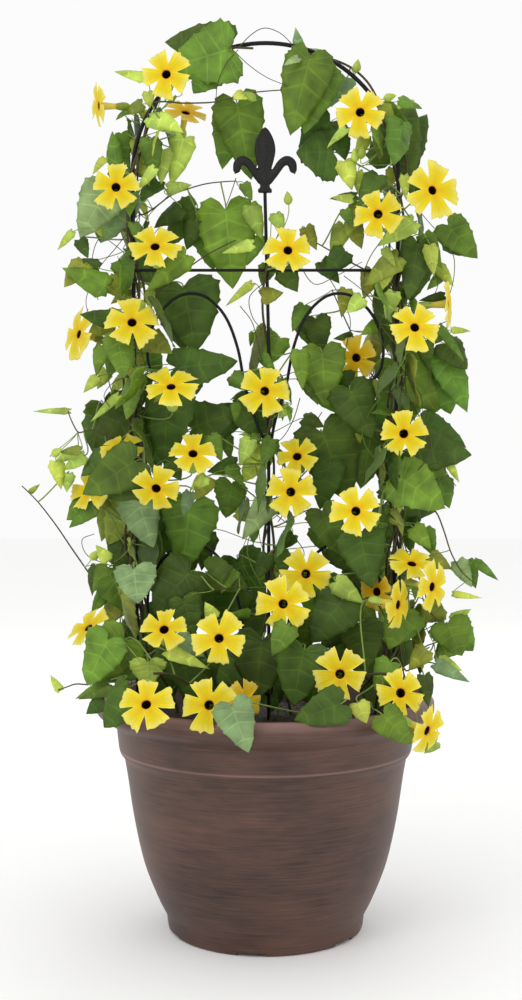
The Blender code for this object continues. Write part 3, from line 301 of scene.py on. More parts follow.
# Leaves of the solids: pixel of the stalk's end, pixel of the apex, width and depth in mm, shade
SOLID_LEAVES = tuple(itertools.starmap(Leaf, (
    (228, 50, 168, 66, 62, -8, MID), (237, 104, 250, 178, 48, 14, MID),
    (118, 194, 98, 242, 58, -22, SHEEN), (226, 210, 232, 288, 58, 16, MID),
    (310, 58, 290, 132, 48, -12, MID), (333, 152, 296, 152, 54, 10, IN_SHADE),
    (392, 162, 412, 100, 50, 16, IN_SHADE), (448, 226, 478, 258, 34, 10, MID),
    (184, 288, 196, 352, 66, 10, IN_SHADE), (178, 368, 238, 360, 42, -8, IN_SHADE),
    (134, 408, 94, 452, 50, 14, IN_SHADE), (168, 396, 162, 468, 50, -12, IN_SHADE),
    (192, 428, 236, 410, 48, 20, IN_SHADE), (254, 396, 266, 440, 40, 14, IN_SHADE),
    (418, 246, 408, 300, 30, -14, IN_SHADE), (392, 290, 384, 350, 34, 16, IN_SHADE),
    (322, 352, 326, 406, 44, -6, MID), (350, 390, 372, 440, 44, -20, IN_SHADE),
    (322, 432, 350, 502, 62, 12, IN_SHADE), (396, 360, 438, 412, 50, -14, MID),
    (444, 358, 468, 412, 34, 10, MID), (412, 448, 472, 455, 44, -8, IN_SHADE),
    (388, 472, 438, 480, 42, 18, IN_SHADE), (134, 462, 82, 494, 44, -56, IN_SHADE),
    (138, 502, 154, 548, 40, -34, SHEEN), (190, 506, 182, 572, 54, -14, MID),
    (134, 569, 138, 604, 40, -66, SHEEN), (190, 572, 152, 612, 50, -30, IN_SHADE),
    (208, 572, 248, 588, 34, -12, IN_SHADE), (126, 508, 106, 546, 34, 8, OLIVE),
    (124, 640, 86, 682, 48, -72, MID), (322, 512, 342, 556, 36, -22, IN_SHADE),
    (360, 536, 372, 588, 44, -40, IN_SHADE), (400, 478, 446, 508, 50, -36, MID),
    (342, 600, 312, 642, 46, -56, IN_SHADE), (448, 624, 462, 656, 38, -44, MID),
    (340, 704, 294, 722, 34, -148, IN_SHADE), (232, 706, 248, 753, 34, -162, SHEEN),
    (262, 640, 254, 700, 56, -60, IN_SHADE), (304, 650, 292, 706, 52, -84, IN_SHADE),
    (252, 652, 216, 684, 42, -50, IN_SHADE), (176, 650, 196, 700, 44, -70, IN_SHADE),
    (360, 626, 366, 672, 42, -40, IN_SHADE), (128, 700, 104, 728, 34, -104, IN_SHADE),
    (404, 612, 388, 650, 32, -62, MID), (384, 716, 412, 744, 28, -146, MID),
    (160, 520, 196, 560, 48, 44, IN_SHADE), (390, 560, 352, 610, 48, 44, IN_SHADE),
    (238, 560, 262, 612, 48, 46, IN_SHADE), (140, 620, 176, 668, 50, 60, IN_SHADE),
    (396, 640, 356, 684, 50, 64, IN_SHADE), (128, 330, 162, 372, 44, 42, MID),
    (400, 400, 372, 446, 44, 44, MID), (170, 640, 140, 690, 48, 84, IN_SHADE),
    (352, 640, 392, 688, 48, 84, IN_SHADE), (210, 590, 226, 640, 46, 76, IN_SHADE),
    (322, 580, 316, 632, 46, 78, MID), (104, 404, 124, 450, 42, 46, IN_SHADE),
    (428, 368, 414, 414, 42, 46, MID), (300, 660, 312, 706, 46, 96, IN_SHADE),
    (218, 660, 200, 700, 44, 98, MID),
    (116, 163, 112, 130, 18, 4, MID), (184, 138, 170, 186, 26, 8, YOUNG),
    (150, 140, 155, 180, 22, -8, MID), (158, 182, 138, 202, 20, 16, IN_SHADE),
    (160, 118, 183, 132, 16, -20, YOUNG), (80, 240, 88, 258, 14, -4, IN_SHADE),
    (195, 210, 164, 244, 36, 26, IN_SHADE), (300, 55, 296, 27, 14, 6, SHEEN),
    (306, 56, 326, 50, 14, 8, SHEEN), (346, 78, 331, 104, 24, 20, SHEEN),
    (345, 162, 352, 190, 20, -12, YOUNG), (378, 176, 358, 206, 24, -16, IN_SHADE),
    (345, 210, 352, 226, 13, -10, MID), (413, 222, 378, 245, 22, -26, YOUNG),
    (430, 246, 434, 276, 15, -20, YOUNG), (106, 286, 62, 266, 26, -30, MID),
    (186, 256, 146, 292, 24, -34, MID), (148, 338, 172, 352, 26, -30, OLIVE),
    (118, 338, 124, 378, 28, -26, MID), (102, 346, 96, 376, 16, -30, MID),
    (110, 320, 80, 314, 18, -30, IN_SHADE), (84, 456, 62, 470, 15, -14, YOUNG),
    (68, 474, 66, 492, 14, -12, YOUNG), (94, 507, 68, 528, 17, -20, MID),
    (232, 376, 252, 390, 17, -14, MID), (345, 252, 324, 274, 24, 8, IN_SHADE),
    (398, 258, 362, 286, 24, -22, OLIVE), (362, 298, 346, 313, 17, -10, YOUNG),
    (316, 320, 322, 354, 28, 18, IN_SHADE), (300, 352, 304, 390, 20, -22, MID),
    (205, 477, 190, 490, 14, -44, YOUNG), (190, 493, 182, 516, 14, -56, SHEEN),
    (232, 484, 226, 518, 32, 8, MID), (268, 502, 242, 540, 24, -34, SHEEN),
    (108, 560, 96, 545, 13, -30, YOUNG), (108, 568, 92, 592, 21, -16, MID),
    (104, 594, 92, 612, 14, -22, MID), (148, 662, 147, 687, 32, -100, YOUNG),
    (168, 651, 209, 668, 14, -88, YOUNG), (178, 640, 204, 656, 22, -72, SHEEN),
    (124, 680, 112, 700, 13, -90, MID), (214, 618, 205, 602, 14, -60, YOUNG),
    (414, 528, 432, 550, 19, -26, MID), (336, 582, 364, 604, 20, -62, YOUNG),
    (288, 626, 272, 655, 24, -96, MID), (436, 664, 470, 682, 14, -60, SHEEN),
    (458, 562, 472, 588, 18, -24, SHEEN), (390, 662, 374, 692, 25, -96, MID),
    (358, 703, 367, 723, 20, -150, YOUNG), (424, 676, 430, 708, 17, -72, IN_SHADE),
    (268, 556, 256, 580, 19, -18, IN_SHADE), (282, 552, 284, 578, 17, -22, IN_SHADE),
    (250, 440, 240, 466, 18, -16, YOUNG), (272, 440, 262, 468, 18, -14, MID),
    (212, 436, 222, 462, 16, -40, MID),
)))

# Leaves that the solids leave out: first the ones under 13 mm wide, then those that fill the crowd
HUNG_LEAVES = tuple(itertools.starmap(Leaf, (
    (104, 158, 92, 173, 10, -6, YOUNG), (236, 93, 248, 98, 12, -20, YOUNG),
    (144, 78, 114, 70, 11, -14, YOUNG), (148, 92, 150, 108, 12, -10, YOUNG),
    (72, 232, 57, 250, 9, -18, YOUNG), (298, 58, 284, 64, 9, -14, SHEEN),
    (352, 199, 331, 197, 9, -12, YOUNG), (118, 396, 90, 422, 9, -12, YOUNG),
    (68, 411, 32, 410, 7, -22, YOUNG), (80, 450, 58, 452, 10, -20, OLIVE),
    (251, 284, 225, 306, 9, -20, YOUNG), (252, 244, 221, 252, 12, -28, YOUNG),
    (440, 328, 467, 361, 11, -14, MID), (452, 330, 471, 331, 7, -10, YOUNG),
    (446, 458, 460, 482, 10, -12, YOUNG), (108, 684, 74, 699, 12, -60, MID),
    (60, 690, 50, 676, 9, -36, YOUNG), (452, 620, 470, 609, 12, -40, YOUNG),
    (476, 562, 500, 580, 10, -24, MID), (454, 594, 482, 598, 7, -30, YOUNG),
    (30, 492, 40, 484, 6, 14, YOUNG),
    (226, 44, 164, 40, 44, 2, IN_SHADE), (214, 66, 194, 92, 34, -2, MID),
    (122, 134, 128, 160, 18, 8, MID), (163, 150, 160, 182, 20, 6, YOUNG),
    (143, 156, 148, 184, 18, 6, OLIVE), (142, 104, 122, 114, 14, -4, OLIVE),
    (150, 118, 176, 132, 18, -2, YOUNG), (168, 188, 192, 184, 14, -12, YOUNG),
    (106, 190, 80, 236, 44, -14, SHEEN), (180, 208, 152, 226, 24, 24, IN_SHADE),
    (244, 184, 252, 200, 12, -12, MID), (232, 110, 222, 168, 36, 22, MID),
    (250, 206, 262, 240, 20, 10, YOUNG), (256, 236, 246, 264, 22, 20, MID),
    (196, 222, 186, 250, 24, 22, IN_SHADE), (206, 232, 214, 270, 30, 24, MID),
    (322, 74, 304, 132, 40, -2, MID), (330, 122, 300, 162, 46, 16, IN_SHADE),
    (340, 138, 346, 160, 20, 4, IN_SHADE), (366, 136, 356, 160, 14, -10, YOUNG),
    (392, 150, 380, 112, 34, 24, IN_SHADE), (404, 152, 426, 112, 34, 22, IN_SHADE),
    (356, 196, 330, 198, 12, -10, IN_SHADE), (360, 206, 346, 236, 20, -8, OLIVE),
    (352, 222, 362, 248, 20, 6, OLIVE), (358, 172, 360, 198, 12, -8, YOUNG),
    (404, 176, 406, 200, 10, -30, YOUNG), (446, 238, 474, 256, 24, 14, IN_SHADE),
    (344, 226, 330, 258, 20, 14, OLIVE), (424, 236, 442, 268, 20, -12, MID),
    (276, 214, 284, 234, 16, -8, YOUNG), (306, 228, 318, 250, 18, -6, OLIVE),
    (84, 264, 64, 286, 24, -26, OLIVE), (98, 268, 72, 260, 16, -22, IN_SHADE),
    (108, 280, 126, 298, 20, -16, OLIVE), (118, 262, 130, 286, 18, -2, MID),
    (128, 290, 110, 304, 12, 4, OLIVE), (140, 262, 156, 288, 22, 18, IN_SHADE),
    (176, 296, 184, 350, 46, 18, IN_SHADE), (110, 322, 88, 334, 22, -24, OLIVE),
    (118, 344, 108, 378, 24, -18, MID), (126, 352, 132, 378, 16, -10, MID),
    (188, 366, 196, 394, 34, -2, IN_SHADE), (142, 376, 142, 408, 22, 16, IN_SHADE),
    (236, 412, 220, 440, 24, 24, IN_SHADE), (204, 424, 232, 402, 30, 26, IN_SHADE),
    (152, 424, 160, 472, 30, -2, IN_SHADE), (94, 418, 96, 458, 24, 18, IN_SHADE),
    (226, 436, 230, 460, 14, 24, IN_SHADE), (240, 408, 256, 438, 26, 18, IN_SHADE),
    (262, 452, 242, 482, 28, -6, YOUNG), (104, 454, 80, 476, 24, -20, IN_SHADE),
    (56, 462, 62, 488, 16, -14, YOUNG), (72, 452, 54, 462, 12, -16, YOUNG),
    (208, 478, 196, 500, 20, -30, OLIVE), (170, 462, 182, 480, 18, -40, IN_SHADE),
    (236, 464, 206, 472, 18, 4, IN_SHADE), (134, 488, 106, 498, 20, -40, IN_SHADE),
    (322, 262, 340, 282, 20, 18, IN_SHADE), (268, 266, 262, 286, 18, 4, MID),
    (284, 270, 298, 292, 24, 8, IN_SHADE), (262, 296, 284, 292, 18, -8, OLIVE),
    (304, 306, 292, 330, 18, 8, MID), (302, 322, 312, 346, 20, 22, IN_SHADE),
    (280, 338, 264, 368, 24, 6, MID), (262, 356, 276, 374, 12, -8, MID),
    (346, 290, 342, 316, 16, 2, OLIVE), (378, 324, 362, 334, 14, 8, MID),
    (352, 336, 334, 338, 10, 30, IN_SHADE), (308, 372, 318, 404, 24, 2, IN_SHADE),
    (320, 386, 338, 414, 26, 6, MID), (344, 372, 348, 392, 20, 14, IN_SHADE),
    (304, 418, 324, 426, 18, 16, IN_SHADE), (372, 382, 380, 398, 14, -6, OLIVE),
    (424, 254, 410, 302, 30, 2, IN_SHADE), (372, 270, 364, 298, 20, -10, OLIVE),
    (388, 270, 380, 292, 14, -6, YOUNG), (444, 296, 420, 300, 10, 6, IN_SHADE),
    (446, 344, 468, 368, 30, 4, IN_SHADE), (440, 372, 452, 414, 40, 2, MID),
    (424, 424, 466, 446, 30, 4, IN_SHADE), (372, 430, 362, 488, 46, 22, IN_SHADE),
    (386, 440, 382, 482, 34, 26, IN_SHADE), (330, 464, 320, 510, 32, 10, IN_SHADE),
    (432, 468, 446, 500, 26, -6, MID), (396, 332, 400, 358, 20, 20, IN_SHADE),
    (424, 342, 428, 370, 18, 0, IN_SHADE), (428, 338, 446, 338, 14, 2, IN_SHADE),
    (86, 504, 66, 520, 24, -10, MID), (112, 502, 100, 542, 26, 14, OLIVE),
    (122, 530, 110, 564, 28, 0, IN_SHADE), (132, 548, 112, 570, 22, 8, IN_SHADE),
    (142, 536, 164, 562, 30, 4, IN_SHADE), (164, 556, 154, 604, 26, 10, MID),
    (206, 534, 200, 572, 26, 24, IN_SHADE), (192, 552, 190, 578, 16, 20, IN_SHADE),
    (96, 566, 90, 594, 16, -8, IN_SHADE), (112, 578, 134, 614, 36, -6, MID),
    (126, 592, 104, 622, 34, 0, OLIVE), (108, 640, 84, 686, 42, -58, MID),
    (134, 668, 104, 682, 20, -78, MID), (104, 700, 86, 714, 18, -80, IN_SHADE),
    (112, 690, 76, 698, 10, -84, IN_SHADE), (184, 600, 194, 636, 32, -40, IN_SHADE),
    (244, 592, 236, 624, 24, 10, IN_SHADE), (250, 604, 262, 642, 32, 0, IN_SHADE),
    (316, 528, 326, 554, 20, 4, MID), (330, 548, 352, 572, 24, 14, IN_SHADE),
    (350, 566, 360, 590, 18, 10, IN_SHADE), (384, 506, 390, 548, 24, 30, IN_SHADE),
    (404, 508, 436, 512, 24, 10, IN_SHADE), (404, 518, 412, 554, 22, 10, IN_SHADE),
    (424, 530, 434, 558, 20, 0, MID), (430, 556, 452, 568, 20, -10, OLIVE),
    (466, 562, 476, 588, 20, -14, MID), (440, 480, 450, 508, 24, -10, MID),
    (440, 606, 418, 622, 26, -20, OLIVE), (430, 604, 446, 624, 22, -10, MID),
    (358, 606, 378, 624, 24, -10, MID), (386, 606, 382, 628, 14, -20, YOUNG),
    (308, 618, 302, 652, 34, 0, IN_SHADE), (340, 632, 318, 648, 20, -20, IN_SHADE),
    (418, 618, 404, 642, 18, -30, MID), (452, 626, 474, 650, 36, -34, MID),
    (456, 640, 434, 658, 24, -30, MID), (426, 650, 408, 670, 20, -50, OLIVE),
    (440, 660, 462, 670, 12, -50, YOUNG), (416, 726, 406, 744, 16, -110, OLIVE),
    (436, 742, 424, 754, 12, -120, YOUNG), (160, 662, 172, 704, 40, 20, IN_SHADE),
    (196, 664, 186, 706, 40, 30, IN_SHADE), (268, 668, 274, 712, 44, 10, IN_SHADE),
    (330, 668, 318, 708, 42, 20, IN_SHADE), (372, 672, 380, 712, 40, 20, MID),
)))

# Closed bract pairs: pixel of the middle, depth in mm, lean from upright in degrees
BUDS = ((397, 150, -16, 20), (288, 198, -14, -8), (280, 225, -12, 12), (355, 155, -16, -14),
        (95, 555, -18, 40), (198, 482, -50, 24), (57, 452, -20, 60), (390, 97, -14, 80),
        (357, 66, -6, 10), (362, 152, -20, 10), (250, 96, -20, -60), (96, 500, -20, -30))

# Thin stems that arch freely: pixels (across, down) and depth in mm along each
TENDRILS = (
    ((238, 48, -8), (252, 34, -10), (265, 28, -10), (280, 33, -10), (292, 44, -8)),
    ((233, 50, -10), (250, 66, -14), (268, 78, -14), (288, 86, -12)),
    ((238, 50, -12), (226, 64, -16), (218, 82, -16), (216, 98, -14)),
    ((112, 566, -14), (88, 556, -18), (82, 540, -20), (94, 534, -20)),
    ((410, 258, -10), (428, 262, -14), (438, 282, -16), (432, 300, -14)),
    ((148, 300, -12), (132, 318, -16), (126, 342, -16), (136, 360, -12)),
    ((130, 230, -14), (114, 250, -18), (98, 270, -20), (86, 300, -20), (92, 322, -16)),
    ((134, 262, 10), (116, 246, 14), (100, 238, 12), (92, 262, 10), (98, 300, 10)),
    ((168, 196, -10), (150, 214, -14), (140, 232, -12), (132, 250, -8)),
    ((236, 178, -16), (230, 196, -18), (226, 206, -16)),
    ((268, 280, -8), (250, 296, -14), (252, 316, -16), (262, 330, -10)),
    ((318, 262, 16), (334, 286, 20), (350, 318, 22), (346, 348, 18)),
    ((298, 262, 10), (314, 284, 14), (336, 276, 16), (362, 262, 14)),
    ((344, 276, -10), (362, 290, -14), (378, 308, -12), (392, 324, -8)),
    ((300, 398, -8), (294, 418, -12), (284, 436, -12), (272, 446, -8)),
    ((322, 412, 10), (310, 430, 14), (296, 444, 12)),
    ((432, 232, 18), (452, 252, 20), (454, 276, 18), (448, 300, 12)),
    ((424, 466, -16), (440, 464, -20), (450, 478, -22), (456, 486, -22)),
    ((398, 640, -24), (420, 632, -28), (436, 622, -26), (430, 612, -22)),
    ((286, 520, -10), (294, 536, -14), (304, 552, -14), (300, 566, -10)),
    ((278, 522, -14), (288, 508, -18), (296, 500, -16)),
    ((130, 376, -14), (114, 382, -18), (104, 396, -18), (112, 410, -12)),
    ((240, 306, -10), (252, 322, -14), (258, 344, -12), (262, 362, -8)),
)

# Fine stems that ramble beside a support: support, how many, how high in mm
RAMBLES = (("left", 7, 520), ("right", 7, 520), ("centre", 3, 300))

# Two kinds of leaf in a spray: spread beside the support and depth in mm, lengths in mm, widths as shares
# of the length, lean in radians and shades
LEAFLET = Spray(17, 34, (12, 28), (0.45, 0.75), 0.9, (IN_SHADE, MID, MID, OLIVE, YOUNG, YOUNG))
SIDEWAYS = Spray(12, 62, (30, 48), (0.7, 0.95), 0.3, (IN_SHADE, IN_SHADE, MID, MID, OLIVE))

# Sprays along the supports: how many leaflets and how many sideways leaves, first and last pixel of a line
SPRAYS = ((54, 34, (132, 160), (134, 640)), (54, 34, (399, 160), (397, 640)),
          (22, 10, (267, 330), (269, 620)), (12, 3, (150, 96), (134, 170)), (12, 3, (382, 100), (398, 170)))
# How far in mm a spray's leaf hangs behind a bloom that it would cover
BEHIND_BLOOM = 34

# How far in mm a leaf may move along its sight line to come clear of what is there, in the order tried
HUNG_SHIFTS = (0, 6, -6, 12, -12, 18, -18, 26, -26, 36, -36, 48, 60, 72)

# Points of the solid blade's edge: across in half widths, up in lengths
LARGE_SIDE = ((0.42, -0.17), (0.92, -0.08), (0.96, 0.14), (0.68, 0.42), (0.34, 0.74))
SMALL_SIDE = ((0.60, -0.10), (1.00, 0.12), (0.52, 0.62))

# Points of the finer blade's edge: across in half widths, up in lengths, and 1 where a tooth stands
LARGE_EDGE = ((0.20, -0.12, 0), (0.46, -0.18, 0), (0.80, -0.13, 1), (1.0, -0.02, 1), (0.99, 0.16, 0),
              (0.93, 0.28, 1), (0.80, 0.46, 1), (0.60, 0.62, 0), (0.46, 0.76, 1), (0.22, 0.90, 0))
SMALL_EDGE = ((0.30, -0.08, 0), (0.66, -0.10, 1), (1.00, 0.10, 1), (0.86, 0.36, 0), (0.64, 0.58, 1),
              (0.34, 0.80, 0))

# Rim of a petal's lobe: across in half lobes, out in lobe lengths; square shouldered, with a shallow nick
LOBE = ((-1.0, 0.42), (-0.86, 0.56), (-0.79, 0.72), (-0.77, 0.89), (-0.71, 1.03), (-0.54, 0.98),
        (-0.36, 1.0), (-0.20, 0.95), (-0.06, 0.93), (0.10, 0.97), (0.26, 0.96), (0.42, 0.99), (0.58, 0.98),
        (0.72, 1.03), (0.78, 0.88), (0.85, 0.62))


def linear(code):
    """An sRGB hex colour as the linear red, green and blue that shaders use."""
    parts = [int(code[i:i + 2], 16) / 255 for i in (1, 3, 5)]
    return tuple(c / 12.92 if c <= 0.04045 else ((c + 0.055) / 1.055) ** 2.4 for c in parts)


def colour(name, description, code):
    """A colour setting with the hex colour as its default."""
    return bpy.props.FloatVectorProperty(name=name, description=description, subtype="COLOR", size=3,
                                         min=0.0, max=1.0, default=linear(code))


def length(name, description, default):
    """A length setting in metres."""
    return bpy.props.FloatProperty(name=name, description=description, subtype="DISTANCE", unit="LENGTH",
                                   min=0.0, default=default)


class PlanterLook(bpy.types.PropertyGroup):
    """Sizes and colours of the planter and its soil"""
    segments: bpy.props.IntProperty(name="Segments", description="Flats round the turned wall",
                                    default=144, min=24, max=360)
    rounding: length("Edge rounding", "How far the moulded edges are rounded", 1.6 * MM)
    streak: length("Streak height", "Height of one wiped streak of the bronze coat", 1.5 * MM)
    crumb: length("Crumb size", "Size of the largest crumbs of potting mix", 2.6 * MM)
    bronze: colour("Bronze", "The resin under the wiped coat", "#2c211e")
    copper: colour("Copper", "Streaks where the coat is thick", "#6a4b3f")
    # Painted highlight on the lip and along the band's lower edge, partly rubbed wear
    wear_and_highlight: colour("Worn edge", "Where the coat is rubbed on the lip", "#a5827a")
    soil: colour("Potting mix", "Moist peat and bark", "#2b211a")


class TrellisLook(bpy.types.PropertyGroup):
    """Sizes and colours of the trellis and its finial"""
    sides: bpy.props.IntProperty(name="Wire sides", description="Flats round a wire",
                                 default=14, min=6, max=48)
    fineness: bpy.props.FloatProperty(name="Fineness", description="Thickness as a share of the solid wire's",
                                      default=0.8, min=0.5, max=1.0)
    bead: length("Weld bead", "Radius of a weld where two wires meet", 2.5 * MM)
    grain: length("Casting grain", "Size of a pebble in the finial's cast skin", 1.4 * MM)
    paint: colour("Wire paint", "Black coating on the wire", "#0a0a0a")
    iron: colour("Finial paint", "Black coating on the casting", "#171716")


class PlantLook(bpy.types.PropertyGroup):
    """Sizes and colours of stems and leaves"""
    tooth: bpy.props.FloatProperty(name="Teeth", description="Depth of the teeth as a share of the width",
                                   default=0.06, min=0.0, max=0.3)
    pillow: length("Quilting", "How far the blade swells between two veins", 0.55 * MM)
    # Painted shade: leaves that lie in shadow inside the plant are given this darker green
    dark: colour("Dark leaf", "Old leaves inside the plant", "#41571b")
    mid: colour("Mid leaf", "Most leaves", "#597624")
    # Painted sheen for leaves that face the light; every blade's underside is also mixed towards this paler
    # colour
    blue: colour("Bluish leaf", "Leaves that face the light flat on", "#768b5a")
    olive: colour("Olive leaf", "Leaves that light shines through", "#7a822e")
    young: colour("Young leaf", "Shoot tips", "#a0b24c")
    stalk: colour("Stalk", "Leaf stalks and flower stalks", "#93a85a")
    stem: colour("Stem", "Twining stems", "#4a4226")


class BloomLook(bpy.types.PropertyGroup):
    """Colours of the blooms"""
    petal: colour("Petal", "The lobes", "#e2cc10")
    gold: colour("Gold", "The lobes beside the eye", "#e3b804")
    edge: colour("Edge", "The lobes' tips", "#ebe068")
    eye: colour("Eye", "The throat", "#2b0508")
    tube: colour("Tube", "The tube's outside", "#d9c552")


class StageLook(bpy.types.PropertyGroup):
    """Floor, light and camera"""
    floor: colour("Floor", "The plain floor", "#fcfcfb")
    key: bpy.props.FloatProperty(name="Key light", description="Power of the main soft light", unit="POWER",
                                 default=12.0, min=0.0)
    sky: bpy.props.FloatProperty(name="Surround", description="Strength of the white surround",
                                 default=0.97, min=0.0)


LOOKS = {"planter": PlanterLook, "trellis": TrellisLook, "plant": PlantLook, "bloom": BloomLook,
         "stage": StageLook}


def look(kind):
    """The scene's settings of one kind."""
    return getattr(bpy.context.scene, "susan_" + kind)


def seen(across, down, depth):
    """The point on the sight line through a pixel that lies depth mm behind the trellis."""
    reach = (EYE_DISTANCE + depth * MM) / EYE_DISTANCE
    x = (across - AXIS_COLUMN) * PIXEL * reach
    z = EYE_HEIGHT + (HORIZON_ROW - down) * PIXEL * reach
    return Vector((x, depth * MM, z))


def smoothed(points, steps):
    """Points along a Catmull-Rom curve through the given ones."""
    ends = [points[0] * 2 - points[1], *points, points[-1] * 2 - points[-2]]
    curve = []
    for a, b, c, d in zip(ends, ends[1:], ends[2:], ends[3:]):
        for step in range(steps):
            t = step / steps
            curve.append(0.5 * (2 * b + (c - a) * t + (2 * a - 5 * b + 4 * c - d) * t * t
                                + (3 * b - a - 3 * c + d) * t ** 3))
    return [*curve, points[-1]]


def bezier(start, near, far, end, steps):
    """Points along a cubic curve with two handles."""
    curve = []
    for step in range(steps + 1):
        t = step / steps
        s = 1 - t
        curve.append(start * s ** 3 + near * 3 * s * s * t + far * 3 * s * t * t + end * t ** 3)
    return curve


def stalk_curve(root, end, arriving, steps):
    """A path from a stem to the leaf's or the bloom's end, arriving in the given direction."""
    span = (end - root).length
    near = root + (end - root) * 0.3 + Vector((0, 0, -0.06 * span))
    far = end - arriving * min(0.4 * span, 18 * MM)
    return bezier(root, near, far, end, steps)


def directions(points):
    """The way a path runs at each of its points."""
    along = []
    for i in range(len(points)):
        before = points[max(i - 1, 0)]
        after = points[min(i + 1, len(points) - 1)]
        along.append((after - before).normalized())
    return along


def solid_tube_corners(points, radii, skipped=0):
    """The corners of a square solid that follows a path without twisting, past the first few rings."""
    along = directions(points)
    side = along[0].orthogonal()
    corners = []
    for point, heading, radius in zip(points, along, radii):
        side = (side - heading * side.dot(heading)).normalized()
        other = heading.cross(side)
        for k in range(4):
            angle = math.tau * (k + 0.5) / 4
            corners.append(point + (side * math.cos(angle) + other * math.sin(angle)) * radius)
    return corners[4 * skipped:]


def tapered(radius, taper, count):
    """Radii that fall evenly to a share of the first."""
    return [radius * (1 + (taper - 1) * i / (count - 1)) for i in range(count)]


def leg_x(height):
    """How far a leg stands from the axis: the legs lean in a little towards the soil."""
    return ARCH_RADIUS - max(ARCH_CENTRE - height, 0) * LEG_LEAN


def rod_x(height):
    """How far right of the axis the slightly bent centre rod is."""
    below, above = ROD_SIDES
    lean = min(max((height - ROD_BEND) / ROD_BEND_SPAN, 0), 1)
    return (below + (above - below) * lean) * MM


def frame_point(side, reach):
    """The frame's centre line at a length above the soil, on the left (-1) or right (+1) leg."""
    straight = ARCH_CENTRE - SOIL_TOP
    if reach < straight:
        height = SOIL_TOP + reach
        return Vector((side * leg_x(height), 0, height)), Vector((0, 0, 1)), Vector((side, 0, 0))
    angle = (reach - straight) / ARCH_RADIUS
    out = Vector((side * math.cos(angle), 0, math.sin(angle)))
    along = Vector((-side * math.sin(angle), 0, math.cos(angle)))
    return Vector((0, 0, ARCH_CENTRE)) + out * ARCH_RADIUS, along, out


def support_point(support, reach):
    """A point of the wire that a stem climbs, the wire's direction there and the way out from it."""
    if support == "centre":
        height = SOIL_TOP + reach
        return Vector((rod_x(height), 0, height)), Vector((0, 0, 1)), Vector((1, 0, 0))
    return frame_point(-1 if support == "left" else 1, reach)


def stem_path(vine, slack):
    """A stem leans from the soil to its support and then twines round it, closely or with some slack."""
    if vine.support in LOW_STEMS:
        return smoothed([Vector(p) * MM for p in LOW_STEMS[vine.support]], 2)
    closest = (ROD_WIRE if vine.support == "centre" else FRAME_WIRE) + STEM + STEM_CLEAR + slack
    start = STEM_ROOT - SOIL_TOP
    steps = round((vine.climb * MM - start) / STEM_STEP)
    points = []
    for step in range(steps + 1):
        reach = start + (vine.climb * MM - start) * step / steps
        centre, along, out = support_point(vine.support, reach)
        turn = math.radians(vine.phase) + math.tau * reach / TWIST_PITCH
        twined = centre + (out * math.cos(turn) + along.cross(out) * math.sin(turn)) * closest
        near = min(max(reach / STEM_LEAN, 0), 1)
        rooted = Vector((vine.root[0] * MM, vine.root[1] * MM, centre.z))
        points.append(rooted.lerp(twined, near * near * (3 - 2 * near)))
    return points


def leaf_axes(leaf, rng):
    """The leaf's stalk end, its directions along, across and out of the blade, and its length."""
    base = seen(leaf.base_x, leaf.base_y, leaf.depth)
    tip = seen(leaf.tip_x, leaf.tip_y, leaf.depth + rng.uniform(*TIP_DEPTHS))
    along = (tip - base).normalized()
    out = Vector((rng.uniform(-0.35, 0.35), -1, rng.uniform(0.0, 0.5)))
    if leaf.depth > 0:
        out.x *= 0.6
    out = (out - along * out.dot(along)).normalized()
    return base, along, along.cross(out), out, (tip - base).length


def leaf_point(axes, half_width, shape, x, y, rise=0.0):
    """A point of the blade: x across in half widths, y along in lengths, rise out of its plane."""
    base, along, across, out, span = axes
    fold, droop = shape
    lift = fold * abs(x) * half_width - droop * y * abs(y) * span
    return base + across * (x * half_width) + along * (y * span) + out * (lift + rise)


def bloom_axes(bloom, depth):
    """The bloom's middle and its directions out of its face, across it and up it."""
    yaw = math.radians(bloom.yaw)
    pitch = math.radians(bloom.pitch)
    facing = Vector((math.sin(yaw) * math.cos(pitch), -math.cos(yaw) * math.cos(pitch), math.sin(pitch)))
    across = facing.cross(Vector((0, 0, 1))).normalized() * -1
    up = across.cross(facing) * -1
    if up.z < 0:
        up.negate()
    return seen(bloom.across, bloom.down, depth), facing, facing.cross(up), up


def lobes_of(bloom):
    """Each lobe's middle angle, length and sway, as the solid draws them."""
    rng = random.Random(bloom.across * 1000 + bloom.down)
    lobes = []
    for lobe in range(5):
        mid = math.radians(bloom.turn - 90) + math.tau * lobe / 5
        size = bloom.width * MM / 2 * rng.uniform(0.95, 1.04)
        lobes.append((mid, size, rng.uniform(-0.06, 0.06)))
    return lobes


def solid_bloom_corners(bloom, axes):
    """The outer corners of the bloom's solid."""
    centre, facing, across, up = axes
    corners = []
    for mid, size, sway in lobes_of(bloom):
        for angle, distance, height in ((mid - HALF_LOBE, LOBES_PART * bloom.width * MM / 2, 0.4 * MM),
                                        (mid - HALF_LOBE * 0.74 + sway, 0.93 * size, -0.2 * MM),
                                        (mid + sway * 0.5, 0.86 * size, 1.6 * MM),
                                        (mid + HALF_LOBE * 0.74 + sway, 0.98 * size, 0.8 * MM)):
            out = across * math.cos(angle) + up * math.sin(angle)
            corners.append(centre + out * distance + facing * height)
    return corners


def bract_seat(axes):
    """Where the bloom's tube stands in its bracts."""
    return axes[0] - axes[1] * (TUBE_LENGTH + PETAL + GAP)


def solid_bract_corners(axes, stalk):
    """The corners of the solid of a flower stalk and its bracts."""
    seat = bract_seat(axes)
    points = list(stalk[:-1])
    radii = [STALK] * len(points)
    for share, radius in ((1.0, STALK * 1.2), (0.55, BRACT_RADIUS), (0.0, BRACT_RADIUS * 0.55)):
        points.append(seat - axes[1] * (BRACT_LENGTH * share))
        radii.append(radius)
    return solid_tube_corners(points, radii)


